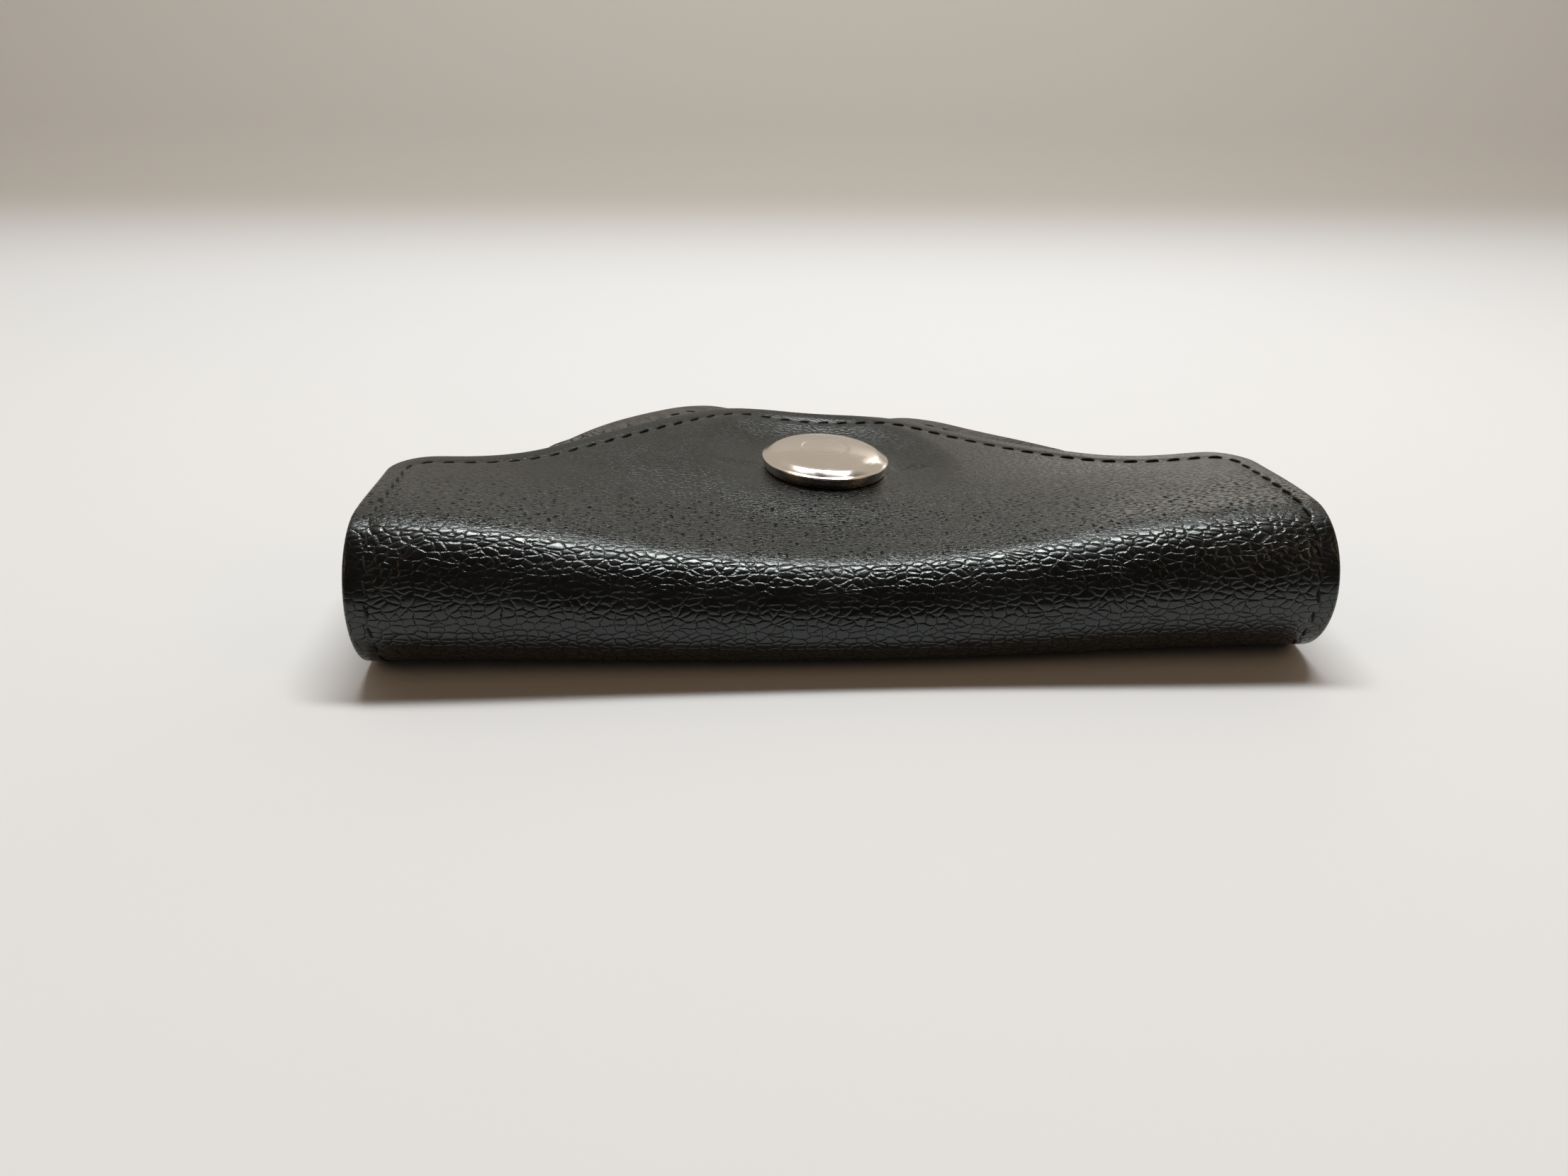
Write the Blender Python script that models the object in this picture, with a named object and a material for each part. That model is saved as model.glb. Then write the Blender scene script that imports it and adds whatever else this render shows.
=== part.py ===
"""Leather coin case with folded side gussets and a press stud, closed and lying on its back panel.

Units are metres and +Z is up. X runs along the spine and +Y points from the spine to the tabs.
The origin is on the table, under the middle of the case.
One sheet of leather runs from the back panel, round the spine, to the flap. It is split at the
spine's mid-height, where it flexes, into outer_leather_back and outer_leather_flap.
"""
from math import asin, atan2, cos, hypot, pi, sin, sqrt

import bmesh
import bpy
import numpy as np
from mathutils import Matrix, Vector

# Shell, seen from above and along the spine
CASE_WIDTH = 0.100
END_HEIGHT = 0.0163
SPINE_DIP = 0.0044
SHOULDER_DROP = 0.0012
TAB_RISE = 0.0027
SEAT_SINK = 0.0007
LEATHER_THICKNESS = 0.0010
LINING_THICKNESS = 0.0007
LINING_INSET = 0.0005
SHOULDER_CORNER_RADIUS = 0.005
TAB_CORNER_RADIUS = 0.012

# Flap outline, measured from the front of the spine
FLAP_REACH = 0.0433
FLAP_SHOULDER_REACH = 0.027
FLAP_SHOULDER_RUN = 0.0131
FLAP_TAB_END_HALF = 0.0115
FLAP_SLOPE_RADIUS = 0.018

# Back panel outline, which stands a little further out than the flap
BACK_TAB_OVERHANG = 0.0042
BACK_SHOULDER_OVERHANG = 0.0014
BACK_SHOULDER_RUN = 0.0105
BACK_TAB_END_MARGIN = 0.0042
BACK_SLOPE_RADIUS = 0.0075

# The back tab's lift off the table, up to the flap, and the curl of its free edge
LIFT_LEAD = 0.0115
LIFT_RUN = 0.0185
LIFT_SIDE_MARGIN = 0.005
LIFT_SIDE_RUN = 0.0084
TAB_CLEARANCE = 0.0004
EDGE_CURL_MIDDLE = 0.0013
EDGE_CURL_SIDE = 0.0005

# Gussets
GUSSET_THICKNESS = 0.0008
GUSSET_SIDE_INSET = 0.0015
GUSSET_FRONT_REACH = 0.0065
GUSSET_BACK_MARGIN = 0.0065
GUSSET_FRONT_WIDTH = 0.006
GUSSET_BACK_WIDTH = 0.0235
GUSSET_CORNER_RADIUS = 0.002

# Press stud
SNAP_REACH = 0.028
CAP_DIAMETER = 0.015
CAP_WALL_HEIGHT = 0.0011
CAP_DOME_RISE = 0.0013
CAP_SHEET = 0.0005
CAP_RIM_TURN = 0.0011
SHANK_RADIUS = 0.0014
FLARE_RADIUS = 0.0020
FLARE_THICKNESS = 0.0003
SOCKET_RADIUS = 0.0062
SOCKET_HEIGHT = 0.0030
SOCKET_PLATE = 0.0004
SPRING_WIRE_RADIUS = 0.0003
SPRING_INNER_RADIUS = 0.0029
STUD_BALL_RADIUS = 0.0026
STUD_NECK_RADIUS = 0.0023
STUD_FLANGE_RADIUS = 0.0048
STUD_FLANGE_THICKNESS = 0.0004
POST_HEAD_RADIUS = 0.0052
POST_HEAD_THICKNESS = 0.0006
EDGE_ROUND = 0.0002

# Clearances and overruns
SEAT_GAP = 0.0003
HINGE_GAP = 0.0003
HOLE_CLEARANCE = 0.0003
CUT_OVERRUN = 0.001
SLOPE_STEP = 0.0001
MERGE_DISTANCE = 0.000001

# Shares and counts
SAG_POWER = 2.0
TAB_SAG_POWER = 4.0
CAP_SEAT_SHARE = 1.1
SEAT_SPREAD_SHARE = 2.0
SPRING_MOUTH_SHARE = 0.08
GROOVE_PLACE_SHARE = 0.62
COLUMN_STEPS = 24
CORNER_STEPS = 3
ARC_STEPS = 5
PANEL_STEPS = 13
FILLET_STEPS = 8
DOME_STEPS = 7
CAP_SEGMENTS = 40
SNAP_SEGMENTS = 28
WIRE_SEGMENTS = 8

# Sizes that follow from those above
HALF_WIDTH = CASE_WIDTH / 2
HINGE_HEIGHT = END_HEIGHT / 2
BACK_REACH = FLAP_REACH + BACK_TAB_OVERHANG
FRONT_Y = -BACK_REACH / 2
LIFT_START_REACH = FLAP_SHOULDER_REACH - LIFT_LEAD
LIFT_NONE_HALF = HALF_WIDTH - LIFT_SIDE_MARGIN
LIFT_FULL_HALF = LIFT_NONE_HALF - LIFT_SIDE_RUN
GUSSET_BACK_REACH = FLAP_SHOULDER_REACH - GUSSET_BACK_MARGIN
LINING_DEPTH = LEATHER_THICKNESS + SEAT_GAP
SHEET_DEPTH = LINING_DEPTH + LINING_THICKNESS
CAP_RADIUS = CAP_DIAMETER / 2
TABS_APART = SOCKET_HEIGHT + STUD_FLANGE_THICKNESS + 3 * SEAT_GAP
HOLE_RADIUS = SHANK_RADIUS + HOLE_CLEARANCE
BORE_RADIUS = SPRING_INNER_RADIUS + SPRING_WIRE_RADIUS
SPRING_RING_RADIUS = SPRING_INNER_RADIUS + SPRING_WIRE_RADIUS
GROOVE_HALF = SPRING_WIRE_RADIUS + SEAT_GAP
GROOVE_RADIUS = SPRING_RING_RADIUS + SPRING_WIRE_RADIUS + SEAT_GAP
STUD_HEIGHT = TABS_APART - 3 * SEAT_GAP - SOCKET_PLATE - FLARE_THICKNESS - SEAT_GAP

FLAP_CORNERS = [
    (HALF_WIDTH, FLAP_SHOULDER_REACH, SHOULDER_CORNER_RADIUS),
    (HALF_WIDTH - FLAP_SHOULDER_RUN, FLAP_SHOULDER_REACH, FLAP_SLOPE_RADIUS),
    (FLAP_TAB_END_HALF, FLAP_REACH, TAB_CORNER_RADIUS),
]
BACK_CORNERS = [
    (HALF_WIDTH, FLAP_SHOULDER_REACH + BACK_SHOULDER_OVERHANG, SHOULDER_CORNER_RADIUS),
    (HALF_WIDTH - BACK_SHOULDER_RUN, FLAP_SHOULDER_REACH + BACK_SHOULDER_OVERHANG, BACK_SLOPE_RADIUS),
    (FLAP_TAB_END_HALF + BACK_TAB_END_MARGIN, BACK_REACH, TAB_CORNER_RADIUS),
]


def smooth(t):
    """Ease from 0 to 1 while t goes from 0 to 1, and hold outside."""
    t = min(max(t, 0.0), 1.0)
    return t * t * (3.0 - 2.0 * t)


def clear_scene():
    """Remove the objects that the scene starts with."""
    for item in list(bpy.data.objects):
        bpy.data.objects.remove(item)


def material(name, colour, roughness, metallic=0.0):
    """Principled material of one colour."""
    made = bpy.data.materials.new(name)
    made.use_nodes = True
    shader = made.node_tree.nodes["Principled BSDF"]
    shader.inputs["Base Color"].default_value = (*colour, 1.0)
    shader.inputs["Roughness"].default_value = roughness
    shader.inputs["Metallic"].default_value = metallic
    return made


def add_object(name, bm, surface):
    """Turn a bmesh in case coordinates into a named object, with the case centred on the origin."""
    bmesh.ops.remove_doubles(bm, verts=bm.verts, dist=MERGE_DISTANCE)
    bmesh.ops.recalc_face_normals(bm, faces=bm.faces)
    mesh = bpy.data.meshes.new(name)
    bm.to_mesh(mesh)
    bm.free()
    mesh.materials.append(surface)
    mesh.shade_smooth()
    mesh.set_sharp_from_angle(angle=pi / 6)
    made = bpy.data.objects.new(name, mesh)
    made.location = (0.0, FRONT_Y, 0.0)
    bpy.context.scene.collection.objects.link(made)
    return made


def put_origin(item, point, parent=None):
    """Move an object's origin to a point in case coordinates and leave its shape where it is."""
    place = Vector(point) + Vector((0.0, FRONT_Y, 0.0))
    item.data.transform(Matrix.Translation(item.location - place))
    item.location = place
    if parent is not None:
        item.parent = parent
        item.matrix_parent_inverse = Matrix.Translation(-parent.location)


# Outline


def filleted(corners):
    """Half outline from the side to the middle, with each corner turned into an arc."""
    first = (corners[0][0], 0.0, 0.0)
    last = (0.0, corners[-1][1], 0.0)
    path = [first, *corners, last]
    points = [Vector(first[:2])]
    for before, corner, after in zip(path, path[1:], path[2:]):
        tip = Vector(corner[:2])
        inward = (Vector(before[:2]) - tip).normalized()
        onward = (Vector(after[:2]) - tip).normalized()
        half = inward.angle(onward) / 2
        centre = tip + (inward + onward).normalized() * (corner[2] / sin(half))
        start = tip + inward * (corner[2] * cos(half) / sin(half))
        end = tip + onward * (corner[2] * cos(half) / sin(half))
        first_turn = atan2(*reversed(start - centre))
        turn = atan2(*reversed(end - centre)) - first_turn
        turn = (turn + pi) % (2 * pi) - pi
        for step in range(FILLET_STEPS + 1):
            angle = first_turn + turn * step / FILLET_STEPS
            points.append(centre + Vector((cos(angle), sin(angle))) * corner[2])
    points.append(Vector(last[:2]))
    return points


def reach_table(corners):
    """Outline as sorted places along the spine and the reach at each."""
    points = sorted(filleted(corners)[1:], key=lambda point: (point.x, -point.y))
    return [point.x for point in points], [point.y for point in points]


FLAP_TABLE = reach_table(FLAP_CORNERS)
BACK_TABLE = reach_table(BACK_CORNERS)


def reach(table, x, inset=0.0):
    """How far from the spine's front the edge lies at this place along the spine."""
    widened = abs(x) * HALF_WIDTH / (HALF_WIDTH - inset)
    return float(np.interp(widened, *table)) - inset


def column_places(inset=0.0):
    """Places along the spine where the sheets have a column of points."""
    half = HALF_WIDTH - inset
    flat_half = half - SHOULDER_CORNER_RADIUS
    inner = [flat_half * (2 * step / COLUMN_STEPS - 1) for step in range(COLUMN_STEPS + 1)]
    corner = [
        flat_half + SHOULDER_CORNER_RADIUS * sin(pi / 2 * step / CORNER_STEPS)
        for step in range(1, CORNER_STEPS + 1)
    ]
    return [-x for x in reversed(corner)] + inner + corner


# Shell surfaces


def spine_radius(x):
    """Radius of the spine's round outer face, which is smaller where the spine sags."""
    sag = 1.0 - sin(pi * abs(x) / CASE_WIDTH) ** SAG_POWER
    return (END_HEIGHT - SPINE_DIP * sag) / 2


def flap_height_free(x, y):
    """Height of the flap's outer face without the seat of the press stud."""
    run = smooth((y - END_HEIGHT / 2) / (FLAP_SHOULDER_REACH - END_HEIGHT / 2))
    tab_run = smooth((y - END_HEIGHT / 2) / (FLAP_REACH - END_HEIGHT / 2))
    end = END_HEIGHT - SHOULDER_DROP * run
    middle = END_HEIGHT - SPINE_DIP + TAB_RISE * tab_run
    power = SAG_POWER + (TAB_SAG_POWER - SAG_POWER) * run
    return middle + (end - middle) * sin(pi * abs(x) / CASE_WIDTH) ** power


def seat_share(x, y, seat_radius):
    """1 on the flat seat of the press stud, easing to 0 round it."""
    spread = seat_radius * (SEAT_SPREAD_SHARE - 1)
    return 1.0 - smooth((hypot(x, y - SNAP_REACH) - seat_radius) / spread)


def flap_height(x, y):
    """Height of the flap's outer face."""
    free = flap_height_free(x, y)
    seat = flap_height_free(0.0, SNAP_REACH) - SEAT_SINK
    return free + (seat - free) * seat_share(x, y, CAP_RADIUS * CAP_SEAT_SHARE)


def back_height(x, y):
    """Height of the back panel's outer face, which is its underside."""
    along = smooth((y - LIFT_START_REACH) / LIFT_RUN)
    across = 1.0 - smooth((abs(x) - LIFT_FULL_HALF) / LIFT_SIDE_RUN)
    beyond = smooth((y - reach(FLAP_TABLE, x)) / BACK_TAB_OVERHANG)
    curl = EDGE_CURL_MIDDLE + EDGE_CURL_SIDE * (x / LIFT_FULL_HALF) ** 2
    under_flap = flap_height(x, y) - 2 * SHEET_DEPTH - TAB_CLEARANCE
    free = along * across * (under_flap + curl * beyond)
    seat = flap_height(0.0, SNAP_REACH) - 2 * SHEET_DEPTH - TABS_APART
    return free + (seat - free) * seat_share(x, y, SOCKET_RADIUS)


def offset_point(height, x, y, depth, share_across):
    """Point at a depth along the normal of a face given by its height. A negative depth goes down."""
    slope_x = (height(x + SLOPE_STEP, y) - height(x - SLOPE_STEP, y)) / (2 * SLOPE_STEP)
    slope_y = (height(x, y + SLOPE_STEP) - height(x, y - SLOPE_STEP)) / (2 * SLOPE_STEP)
    normal = Vector((-slope_x * share_across, -slope_y, 1.0)).normalized()
    return Vector((x, y, height(x, y))) + normal * depth


def arc_point(x, angle, depth):
    """Point on the round spine at a depth inside its outer face."""
    radius = spine_radius(x)
    return Vector((x, radius - (radius - depth) * cos(angle), radius + (radius - depth) * sin(angle)))


def hinge_angle(x, height, depth):
    """Angle on the round spine where a face at this depth reaches a height."""
    radius = spine_radius(x)
    return asin((height - radius) / (radius - depth))


def flap_section(x, depth, inset):
    """Points of the flap, from the hinge plane up round the spine and out to the tab."""
    start = hinge_angle(x, HINGE_HEIGHT + HINGE_GAP / 2, depth)
    points = [arc_point(x, start + (pi / 2 - start) * step / ARC_STEPS, depth) for step in range(ARC_STEPS)]
    front = spine_radius(x)
    run = reach(FLAP_TABLE, x, inset) - front
    for step in range(PANEL_STEPS + 1):
        share = step / PANEL_STEPS
        points.append(offset_point(flap_height, x, front + run * share, -depth, smooth(3 * share)))
    return points


def back_section(x, depth, inset):
    """Points of the back, from the hinge plane down round the spine and out to the lifted tab."""
    start = hinge_angle(x, HINGE_HEIGHT - HINGE_GAP / 2, depth)
    points = [arc_point(x, start - (pi / 2 + start) * step / ARC_STEPS, depth) for step in range(ARC_STEPS)]
    points.append(Vector((x, spine_radius(x), depth)))
    run = reach(BACK_TABLE, x, inset) - LIFT_START_REACH
    for step in range(PANEL_STEPS):
        share = step / (PANEL_STEPS - 1)
        points.append(offset_point(back_height, x, LIFT_START_REACH + run * share, depth, smooth(3 * share)))
    return points


# Builders


def sheet(name, section, outer_depth, thickness, inset, surface):
    """Closed sheet between two depths under the shell's outer face."""
    bm = bmesh.new()
    faces = []
    borders = []
    for depth in (outer_depth, outer_depth + thickness):
        grid = [[bm.verts.new(point) for point in section(x, depth, inset)] for x in column_places(inset)]
        for left, right in zip(grid, grid[1:]):
            for row in range(len(left) - 1):
                faces.append(bm.faces.new((left[row], right[row], right[row + 1], left[row + 1])))
        loop = grid[0] + [column[-1] for column in grid[1:]] + grid[-1][-2::-1]
        loop += [column[0] for column in grid[-2:0:-1]]
        borders.append(loop)
    outer, inner = borders
    for index in range(len(outer)):
        after = (index + 1) % len(outer)
        bm.faces.new((outer[index], outer[after], inner[after], inner[index]))
    return add_object(name, bm, surface)


def turned(name, profile, segments, surface):
    """Solid turned about the press stud's axis from a closed profile of radius and height."""
    bm = bmesh.new()
    rim = [bm.verts.new((radius, SNAP_REACH, height)) for radius, height in profile]
    edges = [bm.edges.new((one, other)) for one, other in zip(rim, rim[1:] + rim[:1])]
    bmesh.ops.spin(
        bm, geom=rim + edges, cent=(0.0, SNAP_REACH, 0.0), axis=(0.0, 0.0, 1.0),
        angle=2 * pi, steps=segments, use_merge=True,
    )
    bmesh.ops.dissolve_degenerate(bm, edges=bm.edges, dist=MERGE_DISTANCE)
    return add_object(name, bm, surface)


def pierce(item, low, high):
    """Cut the round hole of the press stud through a sheet."""
    bm = bmesh.new()
    bmesh.ops.create_cone(
        bm, cap_ends=True, segments=SNAP_SEGMENTS, radius1=HOLE_RADIUS, radius2=HOLE_RADIUS,
        depth=high - low + 2 * CUT_OVERRUN,
        matrix=Matrix.Translation((0.0, SNAP_REACH, (low + high) / 2)),
    )
    cutter = add_object(item.name + "_cutter", bm, item.data.materials[0])
    cutter.hide_render = True
    cutter.display_type = "WIRE"
    cut = item.modifiers.new("stud_hole", "BOOLEAN")
    cut.operation = "DIFFERENCE"
    cut.solver = "EXACT"
    cut.object = cutter


# Leather pieces


def leather_sheets(leather, lining):
    """Outer leather and lining, each in two nodes that part at the hinge plane."""
    pieces = {}
    for side, section, height in (("back", back_section, back_height), ("flap", flap_section, flap_height)):
        seat = height(0.0, SNAP_REACH)
        inward = SHEET_DEPTH if side == "back" else -SHEET_DEPTH
        outer = sheet("outer_leather_" + side, section, 0.0, LEATHER_THICKNESS, 0.0, leather)
        inner = sheet("lining_" + side, section, LINING_DEPTH, LINING_THICKNESS, LINING_INSET, lining)
        for item in (outer, inner):
            pierce(item, min(seat, seat + inward), max(seat, seat + inward))
            pieces[item.name] = item
    return pieces


def rounded_leaf(corners):
    """Leaf outline with the two corners of its free crease edge rounded off."""
    points = list(corners[:2])
    for index in (2, 3):
        corner = corners[index]
        before = (corners[index - 1] - corner).normalized() * GUSSET_CORNER_RADIUS
        after = (corners[(index + 1) % len(corners)] - corner).normalized() * GUSSET_CORNER_RADIUS
        for step in range(CORNER_STEPS + 1):
            share = step / CORNER_STEPS
            points.append(corner + before * (1 - share) ** 2 + after * share**2)
    return points


def gusset_leaf(name, side, upper, surface, parent):
    """Flat leaf of a folded gusset, hinged where it is sewn along the side of its panel."""
    x = side * (HALF_WIDTH - GUSSET_SIDE_INSET)
    away = -1.0 if upper else 1.0
    root = []
    for y in (GUSSET_FRONT_REACH, GUSSET_BACK_REACH):
        if upper:
            z = flap_height(x, max(y, spine_radius(x))) - SHEET_DEPTH - SEAT_GAP
        else:
            z = SHEET_DEPTH + SEAT_GAP
        root.append(Vector((x, y, z)))
    rise = abs(HINGE_HEIGHT - root[1].z) - HINGE_GAP / 2 - GUSSET_THICKNESS
    tilt = asin(rise / GUSSET_BACK_WIDTH)
    along = (root[1] - root[0]).normalized()
    inward = Vector((-side, 0.0, 0.0))
    up = along.cross(inward).normalized()
    if up.z * away < 0:
        up.negate()
    leaf_way = inward * cos(tilt) + up * sin(tilt)
    leaf_normal = up * cos(tilt) - inward * sin(tilt)
    corners = [root[0], root[1], root[1] + leaf_way * GUSSET_BACK_WIDTH, root[0] + leaf_way * GUSSET_FRONT_WIDTH]
    bm = bmesh.new()
    face = bm.faces.new([bm.verts.new(point) for point in rounded_leaf(corners)])
    made = bmesh.ops.extrude_face_region(bm, geom=[face])["geom"]
    moved = [part for part in made if isinstance(part, bmesh.types.BMVert)]
    bmesh.ops.translate(bm, verts=moved, vec=leaf_normal * GUSSET_THICKNESS)
    leaf = add_object(name, bm, surface)
    put_origin(leaf, root[0], parent)
    return leaf


# Press stud pieces


def snap_cap(metal):
    """Domed cap with its turned-in rim, and the shank that is flared inside the socket."""
    seat = flap_height(0.0, SNAP_REACH) + SEAT_GAP
    rim = seat + CAP_WALL_HEIGHT
    sphere = (CAP_RADIUS**2 + CAP_DOME_RISE**2) / (2 * CAP_DOME_RISE)
    profile = []
    for step in range(DOME_STEPS + 1):
        radius = (CAP_RADIUS - EDGE_ROUND) * step / DOME_STEPS
        profile.append((radius, rim + CAP_DOME_RISE - sphere + sqrt(sphere**2 - radius**2)))
    inner_top = rim + CAP_DOME_RISE - sphere + sqrt((sphere - CAP_SHEET) ** 2 - (CAP_RADIUS - CAP_SHEET) ** 2)
    under_top = rim + CAP_DOME_RISE - CAP_SHEET - SHANK_RADIUS**2 / (2 * sphere)
    plate_under = flap_height(0.0, SNAP_REACH) - SHEET_DEPTH - SEAT_GAP - SOCKET_PLATE
    flare_top = plate_under - SEAT_GAP
    profile += [
        (CAP_RADIUS, rim - EDGE_ROUND),
        (CAP_RADIUS, seat + EDGE_ROUND),
        (CAP_RADIUS - EDGE_ROUND, seat),
        (CAP_RADIUS - CAP_RIM_TURN, seat),
        (CAP_RADIUS - CAP_RIM_TURN, seat + CAP_SHEET),
        (CAP_RADIUS - CAP_SHEET, seat + CAP_SHEET),
        (CAP_RADIUS - CAP_SHEET, inner_top),
        (SHANK_RADIUS, under_top),
        (SHANK_RADIUS, flare_top),
        (FLARE_RADIUS, flare_top),
        (FLARE_RADIUS, flare_top - FLARE_THICKNESS),
        (0.0, flare_top - FLARE_THICKNESS),
    ]
    return turned("snap_cap", profile, CAP_SEGMENTS, metal)


def socket_levels():
    """Top of the socket, its open lower end and the middle of its spring groove."""
    top = flap_height(0.0, SNAP_REACH) - SHEET_DEPTH - SEAT_GAP
    low = top - SOCKET_HEIGHT
    return top, low, top - SOCKET_HEIGHT * GROOVE_PLACE_SHARE


def snap_socket(metal):
    """Round socket with a plate that the cap's shank passes, a bore and a groove for the spring."""
    top, low, groove = socket_levels()
    plate_under = top - SOCKET_PLATE
    profile = [
        (HOLE_RADIUS, top),
        (SOCKET_RADIUS - EDGE_ROUND, top),
        (SOCKET_RADIUS, top - EDGE_ROUND),
        (SOCKET_RADIUS, top - SOCKET_PLATE - EDGE_ROUND),
        (GROOVE_RADIUS + SOCKET_PLATE + EDGE_ROUND, top - SOCKET_PLATE - 2 * EDGE_ROUND),
        (GROOVE_RADIUS + SOCKET_PLATE, low + EDGE_ROUND),
        (GROOVE_RADIUS + SOCKET_PLATE - EDGE_ROUND, low),
        (BORE_RADIUS + EDGE_ROUND, low),
        (BORE_RADIUS, low + EDGE_ROUND),
        (BORE_RADIUS, groove - GROOVE_HALF),
        (GROOVE_RADIUS, groove - GROOVE_HALF),
        (GROOVE_RADIUS, groove + GROOVE_HALF),
        (BORE_RADIUS, groove + GROOVE_HALF),
        (BORE_RADIUS, plate_under),
        (HOLE_RADIUS, plate_under),
    ]
    return turned("snap_socket", profile, SNAP_SEGMENTS, metal)


def snap_spring(metal):
    """Open ring of spring wire that lies in the socket's groove."""
    groove = socket_levels()[2]
    bm = bmesh.new()
    ring = bmesh.ops.create_circle(
        bm, cap_ends=True, segments=WIRE_SEGMENTS, radius=SPRING_WIRE_RADIUS,
        matrix=Matrix.Translation((SPRING_RING_RADIUS, SNAP_REACH, groove)) @ Matrix.Rotation(pi / 2, 4, "X"),
    )
    face = ring["verts"][0].link_faces[0]
    bmesh.ops.spin(
        bm, geom=[face], cent=(0.0, SNAP_REACH, 0.0), axis=(0.0, 0.0, 1.0),
        angle=2 * pi * (1.0 - SPRING_MOUTH_SHARE), steps=SNAP_SEGMENTS - 2,
    )
    return add_object("snap_spring", bm, metal)


def stud_levels():
    """Underside of the stud's flange, and its top."""
    base = flap_height(0.0, SNAP_REACH) - SHEET_DEPTH - TABS_APART + SEAT_GAP
    return base, base + STUD_HEIGHT


def snap_stud(metal):
    """Turned stud with a flange, a neck and a rounded head, hollow for the post's flare."""
    base, top = stud_levels()
    flange = base + STUD_FLANGE_THICKNESS
    flare_seat = top - FLARE_THICKNESS - 2 * SEAT_GAP
    pocket = FLARE_RADIUS + HOLE_CLEARANCE
    neck_top = flange + (top - flange) / 3
    profile = [
        (HOLE_RADIUS, base),
        (STUD_FLANGE_RADIUS - EDGE_ROUND, base),
        (STUD_FLANGE_RADIUS, base + EDGE_ROUND),
        (STUD_FLANGE_RADIUS - EDGE_ROUND, flange),
        (STUD_NECK_RADIUS + EDGE_ROUND, flange),
        (STUD_NECK_RADIUS + EDGE_ROUND / 2, neck_top),
        (STUD_BALL_RADIUS, (neck_top + top) / 2),
        (STUD_BALL_RADIUS, top - EDGE_ROUND),
        (STUD_BALL_RADIUS - EDGE_ROUND / 2, top),
        (pocket, top),
        (pocket, flare_seat),
        (HOLE_RADIUS, flare_seat),
    ]
    return turned("snap_stud", profile, SNAP_SEGMENTS, metal)


def snap_post(metal):
    """Rivet under the back tab, whose shank is flared in the stud's hollow head."""
    top = stud_levels()[1]
    head_top = back_height(0.0, SNAP_REACH) - SEAT_GAP
    flare_top = top - SEAT_GAP
    profile = [
        (0.0, flare_top),
        (FLARE_RADIUS, flare_top),
        (FLARE_RADIUS, flare_top - FLARE_THICKNESS),
        (SHANK_RADIUS, flare_top - FLARE_THICKNESS),
        (SHANK_RADIUS, head_top),
        (POST_HEAD_RADIUS, head_top),
        (POST_HEAD_RADIUS, head_top - EDGE_ROUND),
        (POST_HEAD_RADIUS - EDGE_ROUND, head_top - POST_HEAD_THICKNESS + EDGE_ROUND),
        (POST_HEAD_RADIUS / 2, head_top - POST_HEAD_THICKNESS),
        (0.0, head_top - POST_HEAD_THICKNESS),
    ]
    return turned("snap_post", profile, SNAP_SEGMENTS, metal)


def build():
    """Make every piece and hang the moving ones on their fold lines."""
    clear_scene()
    leather = material("black_grained_leather", (0.018, 0.018, 0.019), 0.45)
    lining = material("grey_brown_lining", (0.055, 0.050, 0.046), 0.6)
    gusset = material("black_gusset_leather", (0.016, 0.016, 0.016), 0.55)
    nickel = material("pale_nickel", (0.80, 0.74, 0.68), 0.2, 1.0)
    steel = material("spring_steel", (0.55, 0.55, 0.56), 0.3, 1.0)

    sheets = leather_sheets(leather, lining)
    hinge = bpy.data.objects.new("flap_hinge", None)
    hinge.location = (0.0, FRONT_Y, HINGE_HEIGHT)
    bpy.context.scene.collection.objects.link(hinge)
    on_flap = [sheets["outer_leather_flap"], sheets["lining_flap"]]
    on_flap += [snap_cap(nickel), snap_socket(nickel), snap_spring(steel)]
    for item in on_flap:
        put_origin(item, (0.0, 0.0, HINGE_HEIGHT), hinge)
    snap_stud(nickel)
    snap_post(nickel)
    for label, side in (("left", -1.0), ("right", 1.0)):
        gusset_leaf("gusset_" + label + "_lower", side, False, gusset, None)
        gusset_leaf("gusset_" + label + "_upper", side, True, gusset, hinge)


build()
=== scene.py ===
"""Looks of a black grained leather coin case with a press stud, closed and lying on its back panel.

Units are metres. The sizes below are in case coordinates, where y is 0 on the spine's front. Each
finished piece is moved into the frame, where y is 0 in the middle of the case.
"""

from math import cos, pi, radians, sin, sqrt, tan

import bmesh
import bpy
import numpy as np
from mathutils import Matrix, Vector, kdtree, noise


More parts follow.
